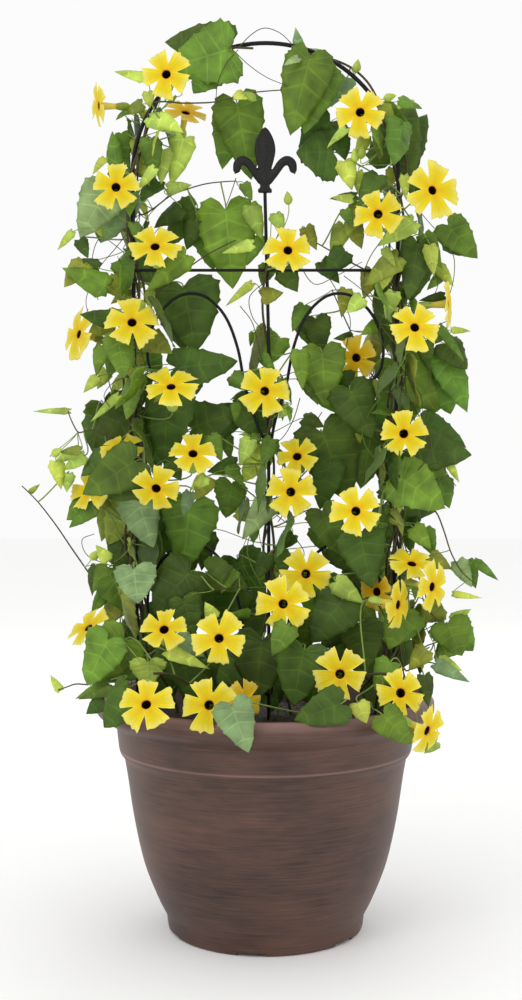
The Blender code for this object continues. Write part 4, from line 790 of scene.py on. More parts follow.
def solid_stalk_corners(axes, stalk):
    """The corners of a leaf stalk's solid, left out at its root, which the stem swallows."""
    side = axes[2]
    corners = []
    for point, heading in list(zip(stalk, directions(stalk)))[-2:0:-1]:
        side = (side - heading * side.dot(heading)).normalized()
        other = side.cross(heading)
        for right, front in itertools.product((1, -1), (1, -1)):
            corners.append(point + (side * right + other * front) * STALK * 0.75)
    return corners


class Corners:
    """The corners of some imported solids, asked how far a trial placing is from them."""

    def __init__(self, names):
        found = [(name, vertex.co) for name in names for vertex in frame["nodes"][name].data.vertices]
        self.owners = [name for name, _ in found]
        self.tree = KDTree(len(found))
        for index, (_, place) in enumerate(found):
            self.tree.insert(place, index)
        self.tree.balance()

    def miss(self, points):
        """The middle one of the points' distances to the nearest corner, and whose corners those are."""
        hits = [self.tree.find(p) for p in points]
        near = sorted(hit[2] for hit in hits)[len(hits) // 2]
        owners = [self.owners[hit[1]] for hit in hits]
        return near, Counter(owners).most_common(1)[0][0]


def steps_of(span):
    """How many straight parts a solid's stalk has."""
    return 1 + sum(span >= limit for limit in STALK_SPANS)


def arrival(axes):
    """The way a stalk comes to its leaf: along the blade and from behind it."""
    return (axes[1] + axes[3] * 0.8).normalized()


def sprays():
    """Seeded leaves that hang at all depths beside the supports, each with its roll about its midrib."""
    rng = random.Random(SEED)
    grown = []
    for small, large, low, high in SPRAYS:
        for kind in (LEAFLET,) * small + (SIDEWAYS,) * large:
            share = rng.random()
            x = low[0] + (high[0] - low[0]) * share + rng.gauss(0, kind.spread)
            y = low[1] + (high[1] - low[1]) * share
            span = rng.uniform(*kind.spans)
            width = span * rng.uniform(*kind.shapes)
            lean = rng.gauss(0, kind.lean)
            shade = rng.choice(kind.shades)
            depth = rng.uniform(-kind.depth, kind.depth)
            for bloom in BLOOMS:
                if math.hypot(x - bloom.across, y + span / 2 - bloom.down) < span / 2 + bloom.width / 2:
                    depth = max(depth, bloom.depth + BEHIND_BLOOM)
            leaf = Leaf(x, y, x + span * math.sin(lean), y + span * math.cos(lean), width, depth, shade)
            roll = rng.choice((-1, 1)) * rng.uniform(1.0, 2.0) if kind is SIDEWAYS else rng.gauss(0, 0.6)
            grown.append((leaf, roll))
    return grown


class Layout:
    """Where every stem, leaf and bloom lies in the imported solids."""

    def __init__(self):
        self.vines = Corners([vine.name for vine in VINES])
        self.stems = {vine.name: [] for vine in VINES}
        self.roots = []
        for vine in VINES:
            self.read_stem(vine)
        for shoot in SHOOTS:
            self.read_shoot(shoot)
        self.blooms = [self.read_bloom(n, bloom) for n, bloom in enumerate(BLOOMS, 1)]
        self.leaves = [self.read_leaf(leaf) for leaf in SOLID_LEAVES]
        self.crowd = []
        for solid in frame["nodes"].values():
            mesh = solid.data
            self.crowd.append(BVHTree.FromPolygons([v.co for v in mesh.vertices],
                                                   [tuple(p.vertices) for p in mesh.polygons]))
        self.leaves += [self.hang(leaf, 0.0) for leaf in HUNG_LEAVES]
        self.leaves += [self.hang(leaf, roll) for leaf, roll in sprays()]

    def best(self, trials, what):
        """The trial that lies on the solids. Each trial is (corners, value)."""
        for corners, value in trials:
            near, owner = self.vines.miss(corners)
            if near < SAME_PLACE:
                return value, owner
        raise RuntimeError(f"the packed solids have no {what}")

    def read_stem(self, vine):
        """Finds a stem's path. Shoots and stalks start at its points, the lowest ones left out."""
        def trials():
            for slack, turn in itertools.product(STEM_SLACKS, STEM_TURNS):
                path = stem_path(vine._replace(phase=vine.phase + turn), slack)
                yield solid_tube_corners(path, tapered(STEM, STEM_TAPER, len(path))), path
        path, _ = self.best(trials(), vine)
        self.stems[vine.name].append((path, STEM, STEM_TAPER))
        self.roots += [(vine.name, p) for p in path if p.z > SOIL_TOP + LOWEST_ROOT]

    def read_shoot(self, shoot):
        """Finds a side shoot's path and the point of its stem where it starts."""
        own = [p for name, p in self.roots if name == shoot.vine]

        def trials():
            for shift in SHOOT_SHIFTS:
                places = [seen(x, y, depth + shift) for x, y, depth in shoot.places]
                for start in sorted(own, key=lambda p: (p - places[0]).length)[:SHOOT_STARTS]:
                    path = smoothed([start, *places], 2)
                    radii = tapered(SHOOT, SHOOT_TAPER, len(path))
                    yield solid_tube_corners(path, radii, SHOOT_ROOTED), path
        path, _ = self.best(trials(), shoot)
        self.stems[shoot.vine].append((path, SHOOT, SHOOT_TAPER))
        self.roots += [(shoot.vine, p) for p in path[SHOOT_ROOTED:]]

    def near_roots(self, end, vine=None):
        """Points of the stems within a stalk's reach, nearest first; one above the end counts as farther."""
        roots = [r for r in self.roots if vine in (None, r[0]) and (r[1] - end).length < LONGEST_STALK]
        return sorted(roots, key=lambda r: (r[1] - end).length + max(r[1].z - end.z, 0) * 0.5)

    def read_bloom(self, number, bloom):
        """Finds how far a bloom was moved and the stalk that carries it."""
        own = Corners([f"bloom_{number:02d}"])
        for shift in BLOOM_SHIFTS:
            axes = bloom_axes(bloom, bloom.depth + shift)
            if own.miss(solid_bloom_corners(bloom, axes))[0] < SAME_PLACE:
                break
        else:
            raise RuntimeError(f"the packed solids have no {bloom}")
        seat = axes[0] - axes[1] * (TUBE_LENGTH + PETAL + GAP + BRACT_LENGTH)

        def trials():
            for vine, root in self.near_roots(seat):
                path = stalk_curve(root, seat, axes[1], steps_of((root - seat).length))
                yield solid_bract_corners(axes, path), (vine, root)
        (vine, root), _ = self.best(trials(), f"stalk for {bloom}")
        stalk = stalk_curve(root, seat, axes[1], BLOOM_STALK_STEPS)
        return Opened(vine, number, bloom, axes, stalk, STALK)

    def read_leaf(self, leaf):
        """Finds how far a leaf was moved, the stem it belongs to and its stalk."""
        half = leaf.width * MM / 2
        side = LARGE_SIDE if leaf.width > LEAF_WIDE else SMALL_SIDE

        def trials():
            for shift in LEAF_SHIFTS:
                rng = random.Random(f"{SEED} {leaf.base_x} {leaf.base_y}")
                axes = leaf_axes(leaf._replace(depth=leaf.depth + shift), rng)
                shape = (rng.uniform(*FOLDS), rng.uniform(*DROOPS))
                outline = [*side, *((-x, y) for x, y in side), (0, 1)]
                yield [leaf_point(axes, half, shape, x, y, BLADE / 2) for x, y in outline], (axes, shape)
        (axes, shape), vine = self.best(trials(), leaf)
        end = axes[0] - axes[1] * 0.01 * axes[4]
        arriving = arrival(axes)
        roots = self.near_roots(end, vine)
        chosen = roots[0][1]
        for _, root in roots:
            path = stalk_curve(root, end, arriving, steps_of((root - end).length))
            corners = solid_stalk_corners(axes, path)
            if corners and self.vines.miss(corners)[0] < SAME_PLACE:
                chosen = root
                break
        stalk = stalk_curve(chosen, end, arriving, LEAF_STALK_STEPS)
        return Placed(vine, leaf, axes, shape, stalk, STALK)

    def hang(self, leaf, roll):
        """Places a leaf that the solids leave out on the nearest stem, clear of all that is there."""
        for shift in HUNG_SHIFTS:
            rng = random.Random(f"{SEED} {leaf.base_x} {leaf.base_y}")
            base, along, across, out, span = leaf_axes(leaf._replace(depth=leaf.depth + shift), rng)
            turn = Matrix.Rotation(roll, 3, along)
            axes = (base, along, turn @ across, turn @ out, span)
            shape = (rng.uniform(*HUNG_FOLDS), rng.uniform(*HUNG_DROOPS))
            half = leaf.width * MM / 2
            side = [(x, y) for x, y, _ in (LARGE_EDGE if leaf.width > LEAF_WIDE else SMALL_EDGE)]
            outline = [(0, 0), *side, (0, 1), *((-x, y) for x, y in reversed(side))]
            points = [leaf_point(axes, half, shape, x, y) for x, y in outline]
            apex = len(side) + 1
            faces = [(0, k, k + 1) for k in range(1, apex)]
            faces += [(0, k, k + 1) for k in range(apex, len(points) - 1)]
            trial = BVHTree.FromPolygons(points, faces)
            if not any(other.overlap(trial) for other in self.crowd):
                break
        self.crowd.append(trial)
        vine, root = min(self.roots, key=lambda r: (r[1] - axes[0]).length)
        stalk = stalk_curve(root, axes[0], arrival(axes), LEAF_STALK_STEPS)
        return Placed(vine, leaf, axes, shape, stalk, TINY_STALK)


@functools.cache
def layout():
    """The plant's layout, read once."""
    return Layout()


class Pile:
    """Points, faces and point values of one piece, added part by part."""

    def __init__(self):
        self.points = []
        self.faces = []
        self.values = {"place": [], "tint": []}

    def add(self, points, faces, place, tint):
        base = len(self.points)
        self.points += points
        self.faces += [tuple(base + i for i in face) for face in faces]
        self.values["place"] += place
        self.values["tint"] += [tint] * len(points)

    def object(self, name, material):
        mesh = bpy.data.meshes.new(name)
        mesh.from_pydata([tuple(p) for p in self.points], [], self.faces)
        for key, rows in self.values.items():
            layer = mesh.attributes.new(key, "FLOAT_VECTOR", "POINT")
            layer.data.foreach_set("vector", [c for row in rows for c in row])
        mesh.materials.append(material)
        mesh.shade_smooth()
        return link(name, mesh)


def link(name, mesh):
    """A new object in the scene."""
    thing = bpy.data.objects.new(name, mesh)
    bpy.context.scene.collection.objects.link(thing)
    return thing


def shell(points, faces, place, thickness):
    """Closes a sheet into a thin shell below it. The lower face has 1 as the third part of its place."""
    normals = [Vector() for _ in points]
    edges = set()
    for face in faces:
        a, b, c = (points[i] for i in face[:3])
        area = (b - a).cross(c - a)
        if len(face) == 4:
            d = points[face[3]]
            area = (c - a).cross(d - b)
        for i in face:
            normals[i] += area
        edges.update(zip(face, (*face[1:], face[0])))
    count = len(points)
    below = [p - n.normalized() * thickness for p, n in zip(points, normals)]
    closed = list(faces) + [tuple(i + count for i in reversed(face)) for face in faces]
    for i, j in sorted(edges):
        if (j, i) not in edges:
            closed.append((j, i, i + count, j + count))
    return points + below, closed, place + [(u, v, 1.0) for u, v, _ in place]


def finish_piece(thing, slot, *nodes):
    """Hands a finished piece to the frame: it rides on the one body and stands for its solids."""
    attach(thing, "root")
    if nodes:
        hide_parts(*nodes)


def feed(tree, node, inputs):
    """Feeds a node's inputs with values, with sockets or with other nodes' first outputs."""
    for key, value in inputs.items():
        source = value.outputs[0] if isinstance(value, bpy.types.Node) else value
        if isinstance(source, bpy.types.NodeSocket):
            tree.links.new(source, node.inputs[key])
        else:
            node.inputs[key].default_value = source


def add(tree, kind, inputs=None, **settings):
    """Adds a node, sets its settings and feeds its inputs."""
    node = tree.nodes.new(kind)
    for key, value in settings.items():
        setattr(node, key, value)
    feed(tree, node, inputs or {})
    return node


def new_material(name, **settings):
    """A Principled material with constants on its own sockets: the material, its tree and its shader."""
    material = bpy.data.materials.new(name)
    material.use_nodes = True
    shader = material.node_tree.nodes["Principled BSDF"]
    for key, value in settings.items():
        shader.inputs[key.replace("_", " ")].default_value = value
    return material, material.node_tree, shader


def planter_material(settings):
    """Injection-moulded resin with a bronze coat wiped on as it turned: fine level streaks; lip and band edge
    rubbed, with painted highlight.
    """
    material, tree, shader = new_material("bronze_wiped_resin", Metallic=0.25, IOR=1.5)
    place = add(tree, "ShaderNodeTexCoord").outputs["Object"]
    fine = 1 / settings.streak
    level = add(tree, "ShaderNodeMapping", {"Vector": place, "Scale": (26, 26, fine)})
    streak = add(tree, "ShaderNodeTexNoise", {"Vector": level, "Scale": 1.0, "Detail": 4.0,
                                              "Roughness": 0.65})
    broad = add(tree, "ShaderNodeMapping", {"Vector": place, "Scale": (8, 8, 17)})
    wipe = add(tree, "ShaderNodeTexNoise", {"Vector": broad, "Scale": 1.0, "Detail": 4.0, "Roughness": 0.6})
    amount = add(tree, "ShaderNodeMath", {0: streak, 1: 0.95, 2: wipe}, operation="MULTIPLY_ADD")
    spread = add(tree, "ShaderNodeMapRange", {"Value": amount, "From Min": 0.66, "From Max": 1.34})
    coat = add(tree, "ShaderNodeMix", {"Factor": spread, 6: (*settings.bronze, 1),
                                       7: (*settings.copper, 1)}, data_type="RGBA")
    height = add(tree, "ShaderNodeSeparateXYZ", {0: place}).outputs["Z"]
    # Painted highlight on the top of the lip, partly rubbed wear, in the paler colour
    lip = add(tree, "ShaderNodeMapRange", {"Value": height, "From Min": LIP_TOP - 9 * MM,
                                           "From Max": LIP_TOP, "To Max": 0.9})
    # Painted highlight: a thin paler line along the band's lower edge, partly rubbed wear
    above = add(tree, "ShaderNodeMath", {0: height, 1: BAND_BOTTOM + 3 * MM}, operation="SUBTRACT")
    near = add(tree, "ShaderNodeMath", {0: above}, operation="ABSOLUTE")
    rim = add(tree, "ShaderNodeMapRange", {"Value": near, "From Max": 1.6 * MM, "To Min": 0.8,
                                           "To Max": 0.0})
    edges = add(tree, "ShaderNodeMath", {0: lip, 1: rim}, operation="MAXIMUM")
    rub_and_highlight = add(tree, "ShaderNodeMath", {0: edges, 1: wipe}, operation="MULTIPLY")
    wear_and_highlight = add(tree, "ShaderNodeMix", {"Factor": rub_and_highlight, 6: coat.outputs[2],
                                       7: (*settings.wear_and_highlight, 1)}, data_type="RGBA")
    gloss = add(tree, "ShaderNodeMapRange", {"Value": streak, "To Min": 0.36, "To Max": 0.62})
    bump = add(tree, "ShaderNodeBump", {"Height": streak, "Strength": 0.35, "Distance": 0.25 * MM})
    feed(tree, shader, {"Base Color": wear_and_highlight.outputs[2], "Roughness": gloss, "Normal": bump})
    return material


def soil_material(settings):
    """Moist peat with bark: almost black, matt, with paler fibres a few millimetres long."""
    material, tree, shader = new_material("peat_potting_mix", Roughness=0.95)
    place = add(tree, "ShaderNodeTexCoord").outputs["Object"]
    grain = add(tree, "ShaderNodeTexNoise", {"Vector": place, "Scale": 1 / (4 * MM), "Detail": 6.0})
    spread = add(tree, "ShaderNodeMapRange", {"Value": grain, "From Min": 0.35, "From Max": 0.75})
    dark = tuple(c * 0.5 for c in settings.soil)
    pale = tuple(min(c * 2.6, 1) for c in settings.soil)
    mixed = add(tree, "ShaderNodeMix", {"Factor": spread, 6: (*dark, 1), 7: (*pale, 1)}, data_type="RGBA")
    bump = add(tree, "ShaderNodeBump", {"Height": grain, "Strength": 0.8, "Distance": 1.0 * MM})
    feed(tree, shader, {"Base Color": mixed.outputs[2], "Normal": bump})
    return material


def coated_material(name, tone, grain, depth, roughness):
    """Black coating on steel or iron: low gloss over a skin as coarse as the metal was formed."""
    material, tree, shader = new_material(name, Roughness=roughness, Specular_IOR_Level=0.22)
    place = add(tree, "ShaderNodeTexCoord").outputs["Object"]
    skin = add(tree, "ShaderNodeTexNoise", {"Vector": place, "Scale": 1 / grain, "Detail": 3.0})
    lift = add(tree, "ShaderNodeMapRange", {"Value": skin, "From Min": 0.4, "From Max": 0.8})
    light = tuple(min(c * 2.2 + 0.004, 1) for c in tone)
    mixed = add(tree, "ShaderNodeMix", {"Factor": lift, 6: (*tone, 1), 7: (*light, 1)}, data_type="RGBA")
    bump = add(tree, "ShaderNodeBump", {"Height": skin, "Strength": 0.6, "Distance": depth})
    feed(tree, shader, {"Base Color": mixed.outputs[2], "Normal": bump})
    return material


def leaf_material(settings):
    """Thin soft leaf: quilted between pale veins, paler below, with light glowing through it."""
    material, tree, shader = new_material("soft_green_leaf", Subsurface_Weight=0.15,
                                          Subsurface_Scale=2.0 * MM, Subsurface_Radius=(0.7, 1.0, 0.2),
                                          Specular_IOR_Level=0.22)
    part = add(tree, "ShaderNodeSeparateXYZ",
               {0: add(tree, "ShaderNodeAttribute", attribute_name="place").outputs["Vector"]})
    tint = add(tree, "ShaderNodeAttribute", attribute_name="tint").outputs["Vector"]
    off = add(tree, "ShaderNodeMath", {0: part.outputs["X"], 1: 0.5}, operation="PINGPONG")
    width = add(tree, "ShaderNodeMapRange", {"Value": part.outputs["Y"], "To Min": 0.14, "To Max": 0.03})
    side = add(tree, "ShaderNodeMapRange", {"Value": off, "From Max": width,
                                            "To Min": 1.0, "To Max": 0.0}, interpolation_type="SMOOTHSTEP")
    rib = add(tree, "ShaderNodeMapRange", {"Value": part.outputs["Y"], "From Max": 0.06, "To Min": 1.0,
                                           "To Max": 0.0}, interpolation_type="SMOOTHSTEP")
    vein = add(tree, "ShaderNodeMath", {0: side, 1: rib}, operation="MAXIMUM")
    place = add(tree, "ShaderNodeTexCoord").outputs["Object"]
    blotch = add(tree, "ShaderNodeTexNoise", {"Vector": place, "Scale": 1 / (16 * MM), "Detail": 4.0})
    light = add(tree, "ShaderNodeMapRange", {"Value": blotch, "From Min": 0.3, "From Max": 0.7,
                                             "To Min": 0.66, "To Max": 1.36})
    glow = add(tree, "ShaderNodeMath", {0: vein, 1: 0.38, 2: light}, operation="MULTIPLY_ADD")
    veined = add(tree, "ShaderNodeVectorMath", {0: tint, "Scale": glow}, operation="SCALE")
    below = add(tree, "ShaderNodeMath", {0: part.outputs["Z"], 1: 0.35}, operation="MULTIPLY")
    both = add(tree, "ShaderNodeMix", {"Factor": below, 6: veined, 7: (*settings.blue, 1)}, data_type="RGBA")
    gloss = add(tree, "ShaderNodeMapRange", {"Value": blotch, "To Min": 0.42, "To Max": 0.62})
    # Real meshes of the finest veins are about 1 mm; drawn at 2.4 mm so that they show
    net = add(tree, "ShaderNodeTexVoronoi", {"Vector": place, "Scale": 1 / (2.4 * MM)},
              feature="DISTANCE_TO_EDGE")
    quilt = add(tree, "ShaderNodeMath", {0: net.outputs["Distance"], 1: vein}, operation="SUBTRACT")
    bump = add(tree, "ShaderNodeBump", {"Height": quilt, "Strength": 0.5, "Distance": 0.35 * MM})
    feed(tree, shader, {"Base Color": both.outputs[2], "Roughness": gloss, "Normal": bump})
    return material


def stem_material():
    """Young vine stem: purplish brown over green, slightly ribbed and dull."""
    material, tree, shader = new_material("purple_green_stem", Roughness=0.6, Specular_IOR_Level=0.25)
    tint = add(tree, "ShaderNodeAttribute", attribute_name="tint").outputs["Vector"]
    place = add(tree, "ShaderNodeTexCoord").outputs["Object"]
    blotch = add(tree, "ShaderNodeTexNoise", {"Vector": place, "Scale": 1 / (9 * MM), "Detail": 3.0})
    light = add(tree, "ShaderNodeMapRange", {"Value": blotch, "To Min": 0.55, "To Max": 1.45})
    base = add(tree, "ShaderNodeVectorMath", {0: tint, "Scale": light}, operation="SCALE")
    bump = add(tree, "ShaderNodeBump", {"Height": blotch, "Strength": 0.4, "Distance": 0.3 * MM})
    feed(tree, shader, {"Base Color": base, "Normal": bump})
    return material


def petal_material(settings):
    """Satin petal: gold beside a wine-black throat, paler tips, faint veins that run outward, painted shade
    down each lobe's midline.
    """
    material, tree, shader = new_material("yellow_petal", Roughness=0.55, Subsurface_Weight=0.1,
                                          Subsurface_Scale=1.0 * MM, Subsurface_Radius=(1.0, 0.9, 0.1),
                                          Specular_IOR_Level=0.2)
    part = add(tree, "ShaderNodeSeparateXYZ",
               {0: add(tree, "ShaderNodeAttribute", attribute_name="place").outputs["Vector"]})
    tint = add(tree, "ShaderNodeAttribute", attribute_name="tint").outputs["Vector"]
    near = add(tree, "ShaderNodeMapRange", {"Value": part.outputs["X"], "From Min": 1.0, "From Max": 1.5})
    warm = add(tree, "ShaderNodeMix", {"Factor": near, 6: (*settings.gold, 1),
                                       7: (*settings.petal, 1)}, data_type="RGBA")
    far = add(tree, "ShaderNodeMapRange", {"Value": part.outputs["X"], "From Min": 1.6, "From Max": 2.0})
    body = add(tree, "ShaderNodeMix", {"Factor": far, 6: warm.outputs[2],
                                       7: (*settings.edge, 1)}, data_type="RGBA")
    fan = add(tree, "ShaderNodeCombineXYZ", {0: part.outputs["Y"]})
    lines = add(tree, "ShaderNodeTexNoise", {"Vector": fan, "Scale": 16.0, "Detail": 2.0})
    dim = add(tree, "ShaderNodeMapRange", {"Value": lines, "From Min": 0.35, "From Max": 0.65,
                                           "To Min": 0.84, "To Max": 1.05})
    # Painted shade: each lobe is darkened a little down its midline
    beside = add(tree, "ShaderNodeMath", {0: part.outputs["Y"]}, operation="ABSOLUTE")
    crease_shade = add(tree, "ShaderNodeMapRange", {"Value": beside, "From Max": 0.75, "To Min": 0.9,
                                              "To Max": 1.0}, interpolation_type="SMOOTHSTEP")
    deep = add(tree, "ShaderNodeMath", {0: dim, 1: crease_shade}, operation="MULTIPLY")
    veined = add(tree, "ShaderNodeVectorMath", {0: body.outputs[2], "Scale": deep}, operation="SCALE")
    shaded = add(tree, "ShaderNodeVectorMath", {0: veined, 1: tint}, operation="MULTIPLY")
    throat = add(tree, "ShaderNodeMapRange", {"Value": part.outputs["X"], "From Min": 0.82,
                                              "From Max": 0.9, "To Min": 1.0, "To Max": 0.0},
                 interpolation_type="SMOOTHSTEP")
    inner = add(tree, "ShaderNodeMix", {"Factor": throat, 6: shaded,
                                        7: (*settings.eye, 1)}, data_type="RGBA")
    tube = add(tree, "ShaderNodeMix", {"Factor": throat, 6: shaded,
                                       7: (*settings.tube, 1)}, data_type="RGBA")
    whole = add(tree, "ShaderNodeMix", {"Factor": part.outputs["Z"], 6: inner.outputs[2],
                                        7: tube.outputs[2]}, data_type="RGBA")
    bump = add(tree, "ShaderNodeBump", {"Height": lines, "Strength": 0.25, "Distance": 0.2 * MM})
    feed(tree, shader, {"Base Color": whole.outputs[2], "Normal": bump})
    return material


@functools.cache
def surface(name):
    """A finish by its name, made once."""
    makers = {
        "planter": lambda: planter_material(look("planter")),
        "soil": lambda: soil_material(look("planter")),
        "wire": lambda: coated_material("black_coated_wire", look("trellis").paint, 0.9 * MM,
                                        0.08 * MM, 0.42),
        "iron": lambda: coated_material("black_cast_iron", look("trellis").iron, look("trellis").grain,
                                        0.5 * MM, 0.5),
        "leaf": lambda: leaf_material(look("plant")),
        "stem": stem_material,
        "petal": lambda: petal_material(look("bloom")),
    }
    return makers[name]()


def new_tree(name, **sockets):
    """An empty geometry tree with a geometry and the named inputs: the tree and its input node."""
    tree = bpy.data.node_groups.new(name, "GeometryNodeTree")
    tree.interface.new_socket("Geometry", in_out="OUTPUT", socket_type="NodeSocketGeometry")
    tree.interface.new_socket("Geometry", in_out="INPUT", socket_type="NodeSocketGeometry")
    for key, kind in sockets.items():
        tree.interface.new_socket(key, in_out="INPUT", socket_type="NodeSocket" + kind)
    return tree, add(tree, "NodeGroupInput")


def end_tree(tree, geometry, material):
    """Ends a geometry tree with real geometry in its material."""
    real = add(tree, "GeometryNodeRealizeInstances", {0: geometry})
    painted = add(tree, "GeometryNodeSetMaterial", {"Geometry": real, "Material": material})
    add(tree, "NodeGroupOutput", {0: painted})
    return tree


@functools.cache
def path_tree():
    """Turns paths of edges into round tubes, as thick as each point's thickness value says."""
    tree, given = new_tree("round_along_paths", Sides="Int", Material="Material")
    curve = add(tree, "GeometryNodeMeshToCurve", {"Mesh": given.outputs["Geometry"]})
    thick = add(tree, "GeometryNodeInputNamedAttribute", {"Name": "thickness"}, data_type="FLOAT")
    ring = add(tree, "GeometryNodeCurvePrimitiveCircle", {"Resolution": given.outputs["Sides"],
                                                          "Radius": 1.0}, mode="RADIUS")
    tubes = add(tree, "GeometryNodeCurveToMesh", {"Curve": curve, "Profile Curve": ring,
                                                  "Scale": thick, "Fill Caps": True})
    smooth = add(tree, "GeometryNodeSetShadeSmooth", {"Geometry": tubes})
    return end_tree(tree, smooth, given.outputs["Material"])


@functools.cache
def crumb_tree():
    """Strews crumbs of random size and turn over the faces that look up."""
    tree, given = new_tree("strewn_crumbs", Density="Float", Largest="Float", Seed="Int",
                           Material="Material")
    normal = add(tree, "ShaderNodeSeparateXYZ", {0: add(tree, "GeometryNodeInputNormal")})
    upward = add(tree, "FunctionNodeCompare", {0: normal.outputs["Z"], 1: 0.5}, operation="GREATER_THAN")
    points = add(tree, "GeometryNodeDistributePointsOnFaces",
                 {"Mesh": given.outputs["Geometry"], "Selection": upward,
                  "Density": given.outputs["Density"], "Seed": given.outputs["Seed"]})
    crumb = add(tree, "GeometryNodeMeshIcoSphere", {"Radius": 0.5, "Subdivisions": 1})
    turn = add(tree, "FunctionNodeRandomValue", {"Max": (math.tau,) * 3, "Seed": given.outputs["Seed"]},
               data_type="FLOAT_VECTOR")
    share = add(tree, "FunctionNodeRandomValue", {0: (0.25, 0.25, 0.2), 1: (1.0, 0.8, 0.6),
                                                  "Seed": given.outputs["Seed"]}, data_type="FLOAT_VECTOR")
    size = add(tree, "ShaderNodeVectorMath", {0: share, "Scale": given.outputs["Largest"]}, operation="SCALE")
    placed = add(tree, "GeometryNodeInstanceOnPoints",
                 {"Points": points, "Instance": crumb, "Rotation": turn, "Scale": size})
    both = add(tree, "GeometryNodeJoinGeometry")
    for geometry in (given, placed):
        feed(tree, both, {0: geometry})
    return end_tree(tree, both, given.outputs["Material"])


def bake(thing):
    """Applies a piece's modifiers, so that it is a plain mesh."""
    depsgraph = bpy.context.evaluated_depsgraph_get()
    mesh = bpy.data.meshes.new_from_object(thing.evaluated_get(depsgraph), preserve_all_data_layers=True,
                                           depsgraph=depsgraph)
    thing.modifiers.clear()
    thing.data = mesh
    return thing


def run_tree(thing, tree, **values):
    """Runs a geometry tree on a piece with values for the tree's inputs."""
    step = thing.modifiers.new(tree.name, "NODES")
    step.node_group = tree
    for item in tree.interface.items_tree:
        if item.in_out == "INPUT" and item.name in values:
            step[item.identifier] = values[item.name]
    return bake(thing)


def meshed(name, shape):
    """A mesh of a built shape, which is freed."""
    mesh = bpy.data.meshes.new(name)
    shape.to_mesh(mesh)
    shape.free()
    return mesh


def tubes(name, paths, material, sides):
    """Round tubes along paths, each (points, thickness of every point, tint)."""
    points, edges, thickness, tints = [], [], [], []
    for path, radii, tint in paths:
        base = len(points)
        points += path
        edges += [(base + i, base + i + 1) for i in range(len(path) - 1)]
        thickness += radii
        tints += [tint] * len(path)
    mesh = bpy.data.meshes.new(name)
    mesh.from_pydata([tuple(p) for p in points], edges, [])
    mesh.attributes.new("thickness", "FLOAT", "POINT").data.foreach_set("value", thickness)
    mesh.attributes.new("tint", "FLOAT_VECTOR", "POINT").data.foreach_set(
        "vector", [c for tint in tints for c in tint])
    return run_tree(link(name, mesh), path_tree(), Sides=sides, Material=material)


def turned(name, profile, segments):
    """A solid of revolution about Z, its profile running from the axis to the axis."""
    shape = bmesh.new()
    line = [shape.verts.new((radius, 0, height)) for radius, height in profile]
    edges = [shape.edges.new(pair) for pair in zip(line, line[1:])]
    bmesh.ops.spin(shape, geom=line + edges, axis=(0, 0, 1), cent=(0, 0, 0), dvec=(0, 0, 0),
                   angle=math.tau, steps=segments, use_merge=True)
    bmesh.ops.remove_doubles(shape, verts=shape.verts, dist=1e-6)
    bmesh.ops.recalc_face_normals(shape, faces=shape.faces)
    mesh = meshed(name, shape)
    mesh.shade_smooth()
    return link(name, mesh)


def body_curve(inset=0.0):
    """Radius and height up the planter's bulging body."""
    points = smoothed([Vector((radius * MM - inset, height * MM, 0)) for radius, height in BODY], 4)
    return [(p.x, p.y) for p in points]


def drain_cutter(degrees, drilled):
    """What is cut from the foot: a notch at its edge and, where it is drilled, a drain hole further in."""
    reach = FOOT_RADIUS + CUT_PAST - NOTCH_START
    shape = bmesh.new()
    bmesh.ops.create_cube(shape, size=1)
    bmesh.ops.scale(shape, verts=shape.verts, vec=(reach, NOTCH_WIDTH, NOTCH_HEIGHT + CUT_PAST))
    bmesh.ops.translate(shape, verts=shape.verts,
                        vec=(NOTCH_START + reach / 2, 0, (NOTCH_HEIGHT - CUT_PAST) / 2))
    if drilled:
        drain = bmesh.ops.create_cone(shape, cap_ends=True, segments=24, radius1=DRAIN_RADIUS,
                                      radius2=DRAIN_RADIUS, depth=FLOOR + 2 * CUT_PAST)
        bmesh.ops.translate(shape, verts=drain["verts"], vec=(DRAIN_CIRCLE, 0, FLOOR / 2))
    angle = math.radians(degrees)
    out = Vector((math.cos(angle), math.sin(angle), 0))
    bmesh.ops.rotate(shape, verts=shape.verts, cent=(0, 0, 0), matrix=out.to_track_quat("X", "Z").to_matrix())
    return bpy.data.objects.new("drain", meshed("drain", shape))


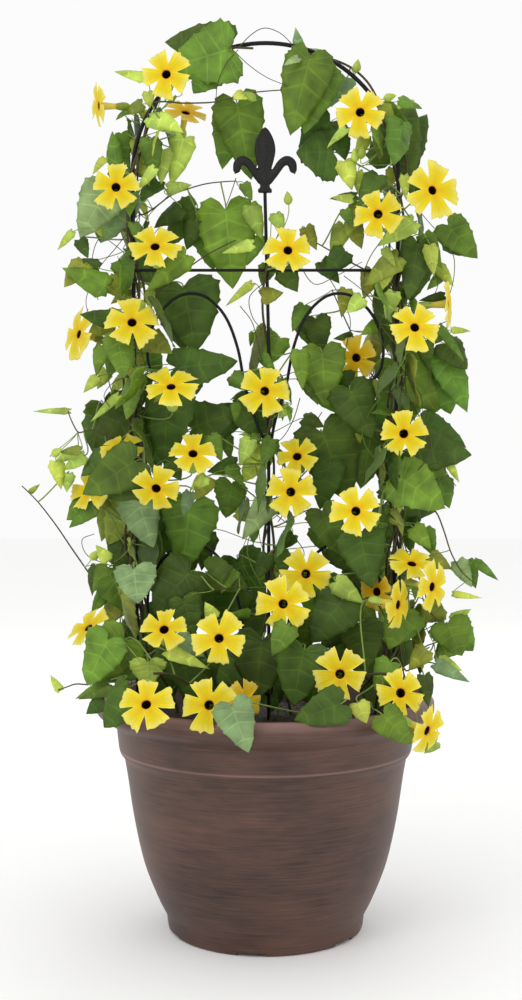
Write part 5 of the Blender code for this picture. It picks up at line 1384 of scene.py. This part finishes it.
def make_planter(settings):
    """The turned planter: bulging body, plain band and flared lip, with notches and holes in its foot."""
    outside = [(0.0, 0.0), (FOOT_RADIUS - 2 * MM, 0.0), (FOOT_RADIUS, 2 * MM), *body_curve(),
               (BAND_RADIUS - 3.5 * MM, BAND_BOTTOM), (BAND_RADIUS - 2.5 * MM, BAND_BOTTOM + 4 * MM),
               (BAND_RADIUS, BAND_TOP),
               (LIP_RADIUS - 4 * MM, LIP_TOP - LIP_DROP), (LIP_RADIUS, LIP_TOP - LIP_DROP + 4 * MM),
               (LIP_RADIUS, LIP_TOP - 5 * MM), (LIP_RADIUS - 4 * MM, LIP_TOP), (LIP_RADIUS - 9 * MM, LIP_TOP)]
    inside = [(BAND_RADIUS - WALL / 2, BAND_TOP + 4 * MM), *body_curve(WALL)[::-1],
              (FOOT_RADIUS - WALL, FLOOR), (0.0, FLOOR)]
    planter = turned("planter", outside + inside, settings.segments)
    edge = planter.modifiers.new("edges", "BEVEL")
    edge.width = settings.rounding
    edge.segments = EDGE_SEGMENTS
    edge.limit_method = "ANGLE"
    edge.angle_limit = EDGE_ANGLE
    bake(planter)
    cutters = bpy.data.collections.new("drains")
    bpy.context.scene.collection.children.link(cutters)
    for number, degrees in enumerate(NOTCH_ANGLES):
        cutters.objects.link(drain_cutter(degrees, number % 2))
    cut = planter.modifiers.new("drains", "BOOLEAN")
    cut.operation = "DIFFERENCE"
    cut.operand_type = "COLLECTION"
    cut.collection = cutters
    cut.solver = "EXACT"
    bake(planter)
    for cutter in list(cutters.objects):
        bpy.data.objects.remove(cutter)
    bpy.data.collections.remove(cutters)
    planter.data.materials.clear()
    planter.data.materials.append(surface("planter"))
    planter.data.set_sharp_from_angle(angle=SHARP_ANGLE)
    finish_piece(planter, "planter_resin", "pot")


def make_soil(settings):
    """Potting mix that fills the planter: domed a little, lumpy away from the wall and strewn with crumbs."""
    profile = [(0.0, SOIL_TOP + 2 * MM)]
    for share in range(1, 13):
        profile.append((SOIL_RIM * share / 12, SOIL_TOP + (2 - 4 * (share / 12) ** 2) * MM))
    for radius, height in body_curve(WALL)[::-1]:
        profile.append((radius - 2 * GAP, height))
    profile += [(FOOT_RADIUS - WALL - 2 * GAP, FLOOR + GAP), (0.0, FLOOR + GAP)]
    soil = turned("potting_mix", profile, SOIL_SEGMENTS)
    for vertex in soil.data.vertices:
        if vertex.co.z > SOIL_TOP - 4 * MM:
            lump = noise.noise(vertex.co / (18 * MM)) * 2.4 + noise.noise(vertex.co / (6 * MM)) * 1.0
            vertex.co.z += lump * MM * (1 if vertex.co.xy.length < SOIL_RIM * 0.97 else 0)
    run_tree(soil, crumb_tree(), Density=CRUMBS_PER_SQUARE_METRE, Largest=settings.crumb, Seed=SEED,
             Material=surface("soil"))
    finish_piece(soil, "potting_soil", "soil")


def scroll(side, drop):
    """One lyre-shaped wire scroll that starts on the rod and curls in at its outer end."""
    outline = ((2.0, 446), (9, 468), (19, 500), (26, 536), (38, 566), (57, 584), (78, 585), (96, 571),
               (107, 550), (109.5, 529), (105, 512), (95, 504), (82, 505))
    points = []
    for across, height in outline:
        foot = max(0, (460 - height) / 14) * 3
        points.append(Vector((side * across + foot, 0, height - drop)) * MM)
    return points


def trellis_wires():
    """Centre line and radius of every wire."""
    legs = []
    for side in (-1, 1):
        leg = [Vector((side * leg_x(h), 0, h)) for h in (SOIL_TOP, 300 * MM, 520 * MM)]
        legs.append([Vector((side * STAKE_SPREAD, 0, STAKE_END)), *leg])
    arch = [frame_point(-1, ARCH_CENTRE - SOIL_TOP + ARCH_RADIUS * math.pi * k / 60)[0] for k in range(61)]
    wires = [(legs[0] + arch + legs[1][::-1], FRAME_WIRE)]
    heights = (ROD_END, 300 * MM, 540 * MM, 600 * MM, 640 * MM, ROD_TOP)
    wires.append(([Vector((rod_x(h), 0, h)) for h in heights], ROD_WIRE))
    reach = leg_x(CROSSBAR)
    wires.append(([Vector((-reach, 0, CROSSBAR)), Vector((reach, 0, CROSSBAR))], SCROLL_WIRE))
    for drop, side in itertools.product((0, SCROLL_PITCH / MM), (-1, 1)):
        wires.append((smoothed(scroll(side, drop), 5), SCROLL_WIRE))
    return wires


@functools.cache
def weld_tree():
    """Puts a rounded weld bead on every point."""
    tree, given = new_tree("weld_beads", Radius="Float", Material="Material")
    bead = add(tree, "GeometryNodeMeshUVSphere", {"Segments": 16, "Rings": 10,
                                                  "Radius": given.outputs["Radius"]})
    points = add(tree, "GeometryNodeMeshToPoints", {"Mesh": given.outputs["Geometry"]}, mode="VERTICES")
    placed = add(tree, "GeometryNodeInstanceOnPoints",
                 {"Points": points, "Instance": bead, "Scale": (1.15, 0.95, 1.3)})
    smooth = add(tree, "GeometryNodeSetShadeSmooth", {"Geometry": placed})
    return end_tree(tree, smooth, given.outputs["Material"])


def make_trellis(settings):
    """The wires, and a weld bead where the crossbar and the scrolls meet the legs and the rod."""
    paths = []
    for path, radius in trellis_wires():
        paths.append((path, [radius * settings.fineness] * len(path), (1, 1, 1)))
    wires = tubes("trellis_wires", paths, surface("wire"), settings.sides)
    finish_piece(wires, "trellis_wire", "trellis")
    joints = [(leg_x(CROSSBAR), CROSSBAR), (-leg_x(CROSSBAR), CROSSBAR), (rod_x(CROSSBAR), CROSSBAR)]
    joints += [(rod_x(h), h) for h in (SCROLL_WELD, SCROLL_WELD - SCROLL_PITCH)]
    mesh = bpy.data.meshes.new("weld_beads")
    mesh.from_pydata([(x, 0, z) for x, z in joints], [], [])
    beads = run_tree(link("weld_beads", mesh), weld_tree(), Radius=settings.bead, Material=surface("wire"))
    finish_piece(beads, "trellis_wire")


def finial_outline():
    """Half outline of the fleur-de-lis in mm from the collar's foot to the tip: (across, up)."""
    collar = ((6.4, 0), (6.6, 3), (4.6, 4.5))
    flower = ((4.4, 8), (8.5, 14), (15, 24), (20, 26.5), (24.5, 23), (27.8, 17), (28.6, 24), (26, 31),
              (20.5, 34), (14, 31), (8.5, 23), (5.0, 19), (7.6, 28), (9.8, 39), (8.2, 49), (3.6, 58), (0, 61))
    return [*collar, *(tuple(p) for p in smoothed([Vector(point) for point in flower], 3))]


def make_finial(settings):
    """The casting: its flat outline drawn to a thickness, swollen in the middle, then rounded over."""
    half = finial_outline()
    outline = half + [(-x, z) for x, z in reversed(half[:-1])]
    foot = ROD_TOP + GAP
    middle = rod_x(ROD_TOP)
    shape = bmesh.new()
    flat = [shape.verts.new((x * MM + middle, -FINIAL_FLAT / 2, foot + z * MM)) for x, z in outline]
    drawn = bmesh.ops.extrude_face_region(shape, geom=[shape.faces.new(flat)])
    moved = [item for item in drawn["geom"] if isinstance(item, bmesh.types.BMVert)]
    bmesh.ops.translate(shape, verts=moved, vec=(0, FINIAL_FLAT, 0))
    # Swells of the middle leaf, the stem and the collar: across, up, half width and half height in mm
    swells = [(0, 39, 5.6, 20), (0, 12, 5.0, 8), (0, 1.8, 6.2, 2.2)]
    # Round swells along the middle of an arm: across, up and radius in mm
    arm = ((4, 11, 3.2), (9.5, 19, 3.8), (15, 27, 4.1), (20.6, 30.2, 4.4), (25, 27.2, 4.3), (26.2, 22, 3.7))
    for x, z, radius in smoothed([Vector(point) for point in arm], 4):
        swells += [(x, z, radius, radius), (-x, z, radius, radius)]
    for x, z, wide, tall in swells:
        swell = bmesh.ops.create_uvsphere(shape, u_segments=20, v_segments=12, radius=1)["verts"]
        bmesh.ops.scale(shape, verts=swell, vec=(wide * MM, FINIAL_SWELL, tall * MM))
        bmesh.ops.translate(shape, verts=swell, vec=(x * MM + middle, 0, foot + z * MM))
    bmesh.ops.recalc_face_normals(shape, faces=shape.faces)
    finial = link("finial_casting", meshed("finial_casting", shape))
    merge = finial.modifiers.new("cast", "REMESH")
    merge.mode = "VOXEL"
    merge.voxel_size = FINIAL_MESH
    merge.use_smooth_shade = True
    ease = finial.modifiers.new("ease", "SMOOTH")
    ease.factor = 0.5
    ease.iterations = 5
    bake(finial)
    finial.data.materials.clear()
    finial.data.materials.append(surface("iron"))
    finish_piece(finial, "finial_iron", "finial")


def shade_tint(settings, shade, rng):
    """A leaf's colour: its tone, varied a little from leaf to leaf; three tones are painted shade, sheen and
    light through the blade.
    """
    tones = (settings.dark, settings.mid, settings.blue, settings.olive, settings.young)
    light = rng.uniform(0.88, 1.38)
    warm = rng.uniform(0.9, 1.12)
    red, green, blue = tones[shade]
    return red * light * warm, green * light, blue * light / warm


def blade_sheet(leaf, axes, shape, settings, rng):
    """A blade's upper face: spokes that follow the veins from the midrib out to the toothed edge."""
    large = leaf.width > LEAF_WIDE
    half = leaf.width * MM / 2
    across = 5 if large else 2
    steps = 3 if large else 2
    corners = [(STALK / half, -0.01, 0), *(LARGE_EDGE if large else SMALL_EDGE), (0, 1, 1)]
    middles = []
    for (x, y, tooth), (next_x, next_y, next_tooth) in zip(corners, corners[1:]):
        for step in range(steps):
            t = step / steps
            # The edge dips between two teeth and stays full beside a rounded point
            dip = settings.tooth * math.sin(math.pi * t) * (0.3 + 0.7 * tooth * next_tooth)
            spur = 1 + (settings.tooth * 0.7 if step == 0 and tooth else -dip)
            middles.append(Vector(((x + (next_x - x) * t) * spur, y + (next_y - y) * t, 0)))
    edge = [*middles, Vector((0, 1, 0))]
    last = len(edge) - 1
    # A side vein runs to every tooth: whole numbers at the teeth, counted from the stalk
    teeth = [k * steps for k, corner in enumerate(corners) if corner[2] or k == 0]
    veins = []
    for number, (low, high) in enumerate(zip(teeth, teeth[1:])):
        veins += [number + (i - low) / (high - low) for i in range(low, high)]
    veins.append(len(teeth) - 1)
    points, place = [], []
    for i, margin in enumerate(edge):
        y = max(0.004 * i, margin.y - 0.22 * (1 - margin.y))
        points.append(leaf_point(axes, half, shape, 0, y))
        place.append((veins[i], 0.0, 0.0))
    faces = []
    for sign in (1, -1):
        swing = rng.uniform(0, math.tau)
        waves = rng.uniform(1.4, 2.6)
        ruffle = rng.uniform(0.08, 0.17)
        base = len(points)
        for i, margin in enumerate(edge[:-1]):
            t = i / last
            rib = Vector((0, max(0.004 * i, margin.y - 0.22 * (1 - margin.y)), 0))
            for j in range(1, across + 1):
                s = j / across
                spot = rib.lerp(margin, s)
                swell = settings.pillow * abs(math.sin(math.pi * veins[i])) ** 0.7
                rise = swell * math.sqrt(4 * s * (1 - s) + 0.02) * min(1, leaf.width / 30)
                rise += ruffle * half * math.sin(math.tau * waves * t + swing) * s * s * (1 - t * 0.5)
                points.append(leaf_point(axes, half, shape, sign * spot.x, spot.y, rise))
                place.append((veins[i], s, 0.0))

        def at(i, j):
            if i == last:
                return last
            return i if j == 0 else base + i * across + j - 1
        for i, j in itertools.product(range(last), range(across)):
            quad = [at(i, j), at(i, j + 1), at(i + 1, j + 1), at(i + 1, j)]
            quad = list(dict.fromkeys(quad))
            faces.append(tuple(quad if sign > 0 else reversed(quad)))
    points = [p + axes[3] * LEAF_THICKNESS / 2 for p in points]
    return shell(points, faces, place, LEAF_THICKNESS)


def bract_sheet(seat, facing, side, opened):
    """Two swollen bracts pressed edge to edge: keeled, and open in front if a bloom stands in them."""
    rows = OPEN_BRACTS if opened else SHUT_BRACTS
    other = facing.cross(side)
    count = BRACT_SIDES
    points, place, faces = [], [], []
    for share, radius in rows:
        for k in range(count):
            angle = math.tau * k / count
            keel = 1 + 0.10 * abs(math.cos(angle)) ** 6
            out = side * math.cos(angle) * keel + other * math.sin(angle) * BRACT_SQUASH
            tip = 0.28 * BRACT_LENGTH * abs(math.sin(angle)) ** 2 * share ** 3 if opened else 0
            height = BRACT_LENGTH * (share - 1) + tip
            points.append(seat + facing * height + out * BRACT_RADIUS * radius)
            place.append((share, k / count, 0.0))
    for row, k in itertools.product(range(len(rows) - 1), range(count)):
        a, b = row * count + k, row * count + (k + 1) % count
        faces.append((a, b, b + count, a + count))
    faces.append(tuple(reversed(range(count))))
    faces.append(tuple(range(len(points) - count, len(points))))
    return points, faces, place


def corolla_sheet(bloom, axes):
    """The corolla's inner face: a curved throat and five notched, rippled lobes."""
    centre, facing, across, up = axes
    radius = bloom.width * MM / 2
    rng = random.Random(bloom.down * 1000 + bloom.across)
    spokes = []
    for mid, size, sway in lobes_of(bloom):
        curl = (rng.uniform(0, math.tau), rng.uniform(-3.6, 0.6), rng.uniform(-2.0, 2.0))
        slim = rng.uniform(0.88, 1.02)
        slant = rng.uniform(-0.08, 0.08)
        for share, reach in LOBE:
            ragged = rng.uniform(-0.04, 0.04) if abs(share) < 0.75 else 0
            distance = LOBES_PART * radius if share == -1 else (reach + ragged + slant * share) * size
            slimmed = share if share == -1 else share * (1 + (slim - 1) * min(1, 2 * (reach - 0.5)))
            angle = mid + HALF_LOBE * slimmed + sway * (1 - abs(share) ** 3)
            rim = Vector((math.cos(angle), math.sin(angle), 0)) * distance
            spokes.append((mid + HALF_LOBE * share, rim, share, curl))
    count = len(spokes)
    points, place, faces = [], [], []
    for level, wide, deep in THROAT:
        for angle, _, share, _ in spokes:
            out = across * math.cos(angle) + up * math.sin(angle)
            points.append(centre + out * wide * MM + facing * deep * MM)
            place.append((level, share, 0.0))
    for s in LIMB:
        for angle, rim, share, (swing, bend, twist) in spokes:
            eye = Vector((math.cos(angle), math.sin(angle), 0)) * EYE_RADIUS
            spot = eye.lerp(rim, s)
            free = max(0.0, spot.length / radius - 0.35) / 0.65
            crest = 1.5 * s - 0.5 * s * s - 0.35 * math.exp(-(share / 0.2) ** 2) * s
            loose = bend * free * free + twist * share * free + 0.5 * math.sin(6 * share + swing) * free
            height = (-0.6 + crest + loose) * MM
            points.append(centre + across * spot.x + up * spot.y + facing * height)
            place.append((1 + s, share, 0.0))
    rings = len(THROAT) + len(LIMB)
    for row, k in itertools.product(range(rings - 1), range(count)):
        a, b = row * count + k, row * count + (k + 1) % count
        faces.append((a, b, b + count, a + count))
    points.append(centre + facing * THROAT_END * MM)
    place.append((0.0, 0.0, 0.0))
    faces += [((k + 1) % count, k, len(points) - 1) for k in range(count)]
    points = [p + facing * PETAL / 2 for p in points]
    return shell(points, faces, place, PETAL_THICKNESS)


def make_stems(settings):
    """Stems, shoots and every stalk, one piece for each packed leafy stem."""
    found = layout()
    rng = random.Random(SEED)
    green = tuple(0.5 * a + 0.5 * b for a, b in zip(settings.stalk, settings.mid))
    for vine in VINES:
        paths = []
        for path, radius, taper in found.stems[vine.name]:
            fine = smoothed(path, 4)
            tone = rng.uniform(0.8, 1.2)
            tint = tuple(c * tone for c in settings.stem)
            paths.append((fine, tapered(radius, taper, len(fine)), tint))
        for item in (*found.leaves, *found.blooms):
            if item.vine == vine.name:
                paths.append((item.stalk, tapered(item.thick, STALK_TAPER, len(item.stalk)), green))
        stems = tubes(vine.name.replace("vine", "stems"), paths, surface("stem"), 8)
        finish_piece(stems, SLOT_PLANT, vine.name)


def ramble(support, height, rng):
    """A thin stem that rambles up beside its support, mostly behind it."""
    swing = [rng.uniform(0, math.tau) for _ in range(4)]
    reach = [rng.uniform(0.4, 1.0) for _ in range(2)]
    points = []
    for step in range(int(height / RAMBLE_STEP) + 1):
        up = step * RAMBLE_STEP
        centre, along, out = support_point(support, up * MM)
        wide = RAMBLE_SPREAD * min(1, 0.4 + up / 200)
        waves = [math.sin(up / wave + start) for wave, start in zip(RAMBLE_WAVES, swing)]
        across = waves[0] * reach[0] + 0.4 * waves[1]
        behind = 0.45 + waves[2] * reach[1] + 0.3 * waves[3]
        points.append(centre + (out * across - along.cross(out) * behind) * wide)
    return points


def make_rambles(settings):
    """The tangle of thin stems along the legs and the rod, and the few that arch freely."""
    rng = random.Random(SEED)
    paths = []
    for support, count, height in RAMBLES:
        for _ in range(count):
            path = smoothed(ramble(support, height * rng.uniform(0.55, 1.0), rng), 3)
            share = rng.random()
            tint = tuple(a + (b - a) * share for a, b in zip(settings.stem, settings.mid))
            paths.append((path, tapered(rng.uniform(0.4, 0.7) * MM, SHOOT_TAPER, len(path)), tint))
    for line in TENDRILS:
        path = smoothed([seen(x, y, depth) for x, y, depth in line], 5)
        paths.append((path, tapered(TINY_STALK, STEM_TAPER, len(path)), settings.stem))
    finish_piece(tubes("thin_stems", paths, surface("stem"), 6), SLOT_PLANT)


def make_leaves(settings):
    """Blades and bract pairs, one piece for each packed leafy stem."""
    found = layout()
    for vine in VINES:
        pile = Pile()
        for item in found.leaves:
            if item.vine == vine.name:
                rng = random.Random(f"blade {item.leaf.base_x} {item.leaf.base_y}")
                tint = shade_tint(settings, item.leaf.shade, rng)
                pile.add(*blade_sheet(item.leaf, item.axes, item.shape, settings, rng), tint)
        for item in found.blooms:
            if item.vine == vine.name:
                rng = random.Random(f"bract {item.number}")
                tint = shade_tint(settings, OLIVE if rng.random() < 0.15 else YOUNG, rng)
                pile.add(*bract_sheet(bract_seat(item.axes), item.axes[1], item.axes[2], True), tint)
        leaves = pile.object(vine.name.replace("vine", "leaves"), surface("leaf"))
        finish_piece(leaves, SLOT_PLANT, vine.name)


def make_buds(settings):
    """Closed bract pairs on fine stalks."""
    found = layout()
    pile = Pile()
    paths = []
    for across, down, depth, lean in BUDS:
        middle = seen(across, down, depth)
        facing = Vector((math.sin(math.radians(lean)), -0.5, math.cos(math.radians(lean)))).normalized()
        side = facing.orthogonal().normalized()
        seat = middle + facing * BRACT_LENGTH / 2
        rng = random.Random(f"bud {across}")
        pile.add(*bract_sheet(seat, facing, side, False), shade_tint(settings, YOUNG, rng))
        foot = seat - facing * BRACT_LENGTH
        _, root = min(found.roots, key=lambda r: (r[1] - foot).length)
        stalk = stalk_curve(root, foot, facing, BLOOM_STALK_STEPS)
        paths.append((stalk, [TINY_STALK] * len(stalk), settings.stalk))
    finish_piece(pile.object("buds", surface("leaf")), SLOT_PLANT)
    finish_piece(tubes("bud_stalks", paths, surface("stem"), 6), SLOT_PLANT)


def make_blooms():
    """One corolla for each packed bloom."""
    for item in layout().blooms:
        rng = random.Random(f"bloom {item.number}")
        light = rng.uniform(0.94, 1.04)
        # Painted shade: blooms that lie in shadow keep less green, so they look amber
        warm = AMBER_SHADE.get(item.number, 1.0)
        pale = PALE.get(item.number, 1.0)
        pile = Pile()
        pile.add(*corolla_sheet(item.bloom, item.axes), (light, light * warm, light * warm * pale))
        corolla = pile.object(f"corolla_{item.number:02d}", surface("petal"))
        finish_piece(corolla, "petal_yellow", f"bloom_{item.number:02d}")


def make_stage(settings):
    """A pale floor, a white surround, three soft lights and the photograph's viewpoint."""
    corners = ((-1, -1), (1, -1), (1, 1), (-1, 1))
    mesh = bpy.data.meshes.new("floor")
    mesh.from_pydata([(x * FLOOR_REACH, y * FLOOR_REACH, 0) for x, y in corners], [], [(0, 1, 2, 3)])
    paper, tree, shader = new_material("pale_studio_floor", Roughness=0.9, Specular_IOR_Level=0.1)
    place = add(tree, "ShaderNodeTexCoord").outputs["Object"]
    fibre = add(tree, "ShaderNodeTexNoise", {"Vector": place, "Scale": 3.0})
    tone = add(tree, "ShaderNodeMapRange", {"Value": fibre, "To Min": 0.98, "To Max": 1.0})
    plain = add(tree, "ShaderNodeVectorMath", {0: settings.floor, "Scale": tone}, operation="SCALE")
    feed(tree, shader, {"Base Color": plain})
    mesh.materials.append(paper)
    link("floor", mesh)
    world = bpy.data.worlds.new("surround")
    world.use_nodes = True
    backdrop = world.node_tree.nodes["Background"]
    backdrop.inputs["Color"].default_value = (1, 1, 1, 1)
    backdrop.inputs["Strength"].default_value = settings.sky
    bpy.context.scene.world = world
    bpy.context.scene.view_settings.view_transform = "Standard"
    for name, power, size, spot in LAMPS:
        lamp = bpy.data.lights.new(name, "AREA")
        lamp.energy = settings.key * power
        lamp.size = size
        thing = bpy.data.objects.new(name, lamp)
        thing.location = spot
        thing.rotation_euler = (LAMP_AIM - Vector(spot)).to_track_quat("-Z", "Y").to_euler()
        bpy.context.scene.collection.objects.link(thing)
    camera = bpy.data.cameras.new("photograph")
    camera.sensor_width = SENSOR
    camera.lens = EYE_DISTANCE / PIXEL / IMAGE_HEIGHT * SENSOR
    # The photograph's level line and the trellis's axis lie a little off the middle of its frame
    camera.shift_x = (IMAGE_WIDTH / 2 - AXIS_COLUMN) / IMAGE_HEIGHT
    camera.shift_y = (HORIZON_ROW - IMAGE_HEIGHT / 2) / IMAGE_HEIGHT
    viewer = bpy.data.objects.new("photograph", camera)
    viewer.location = (0, -EYE_DISTANCE, EYE_HEIGHT)
    viewer.rotation_euler = (math.pi / 2, 0, 0)
    bpy.context.scene.collection.objects.link(viewer)
    bpy.context.scene.camera = viewer


class MakePlanter(bpy.types.Operator):
    """Make the turned planter"""
    bl_idname = "susan.make_planter"
    bl_label = "Planter"

    def execute(self, context):
        make_planter(look("planter"))
        return {"FINISHED"}


class MakeSoil(bpy.types.Operator):
    """Fill the planter with potting mix"""
    bl_idname = "susan.make_soil"
    bl_label = "Soil"

    def execute(self, context):
        make_soil(look("planter"))
        return {"FINISHED"}


class MakeTrellis(bpy.types.Operator):
    """Make the wire trellis and its welds"""
    bl_idname = "susan.make_trellis"
    bl_label = "Trellis"

    def execute(self, context):
        make_trellis(look("trellis"))
        return {"FINISHED"}


class MakeFinial(bpy.types.Operator):
    """Make the fleur-de-lis casting"""
    bl_idname = "susan.make_finial"
    bl_label = "Finial"

    def execute(self, context):
        make_finial(look("trellis"))
        return {"FINISHED"}


class GrowStems(bpy.types.Operator):
    """Grow the stems, shoots and stalks"""
    bl_idname = "susan.grow_stems"
    bl_label = "Stems"

    def execute(self, context):
        make_stems(look("plant"))
        return {"FINISHED"}


class GrowRambles(bpy.types.Operator):
    """Grow the thin stems that ramble beside the supports"""
    bl_idname = "susan.grow_rambles"
    bl_label = "Thin stems"

    def execute(self, context):
        make_rambles(look("plant"))
        return {"FINISHED"}


class GrowLeaves(bpy.types.Operator):
    """Grow the leaves and the bracts behind the blooms"""
    bl_idname = "susan.grow_leaves"
    bl_label = "Leaves"

    def execute(self, context):
        make_leaves(look("plant"))
        return {"FINISHED"}


class GrowBuds(bpy.types.Operator):
    """Grow the closed buds"""
    bl_idname = "susan.grow_buds"
    bl_label = "Buds"

    def execute(self, context):
        make_buds(look("plant"))
        return {"FINISHED"}


class OpenBlooms(bpy.types.Operator):
    """Open the blooms"""
    bl_idname = "susan.open_blooms"
    bl_label = "Blooms"

    def execute(self, context):
        make_blooms()
        return {"FINISHED"}


class SetStage(bpy.types.Operator):
    """Set the floor, the lights and the camera"""
    bl_idname = "susan.set_stage"
    bl_label = "Stage"

    def execute(self, context):
        make_stage(look("stage"))
        return {"FINISHED"}


STEPS = (MakePlanter, MakeSoil, MakeTrellis, MakeFinial, GrowStems, GrowRambles, GrowLeaves, GrowBuds,
         OpenBlooms, SetStage)


class SusanPanel(bpy.types.Panel):
    """Lists the steps and what can be changed"""
    bl_idname = "VIEW3D_PT_susan"
    bl_label = "Black Eyed Susan Vine"
    bl_space_type = "VIEW_3D"
    bl_region_type = "UI"
    bl_category = "Vine"

    def draw(self, context):
        for step in STEPS:
            self.layout.operator(step.bl_idname)
        for kind, group in LOOKS.items():
            box = self.layout.box()
            box.label(text=kind.capitalize())
            for key in group.__annotations__:
                box.prop(look(kind), key)


def register():
    for kind in (*LOOKS.values(), *STEPS, SusanPanel):
        bpy.utils.register_class(kind)
    for kind, group in LOOKS.items():
        setattr(bpy.types.Scene, "susan_" + kind, bpy.props.PointerProperty(type=group))


def unregister():
    for kind in LOOKS:
        delattr(bpy.types.Scene, "susan_" + kind)
    for kind in (SusanPanel, *reversed(STEPS), *reversed(LOOKS.values())):
        bpy.utils.unregister_class(kind)


def main():
    register()
    for step in STEPS:
        group, name = step.bl_idname.split(".")
        getattr(getattr(bpy.ops, group), name)()


if __name__ == "__main__":
    main()
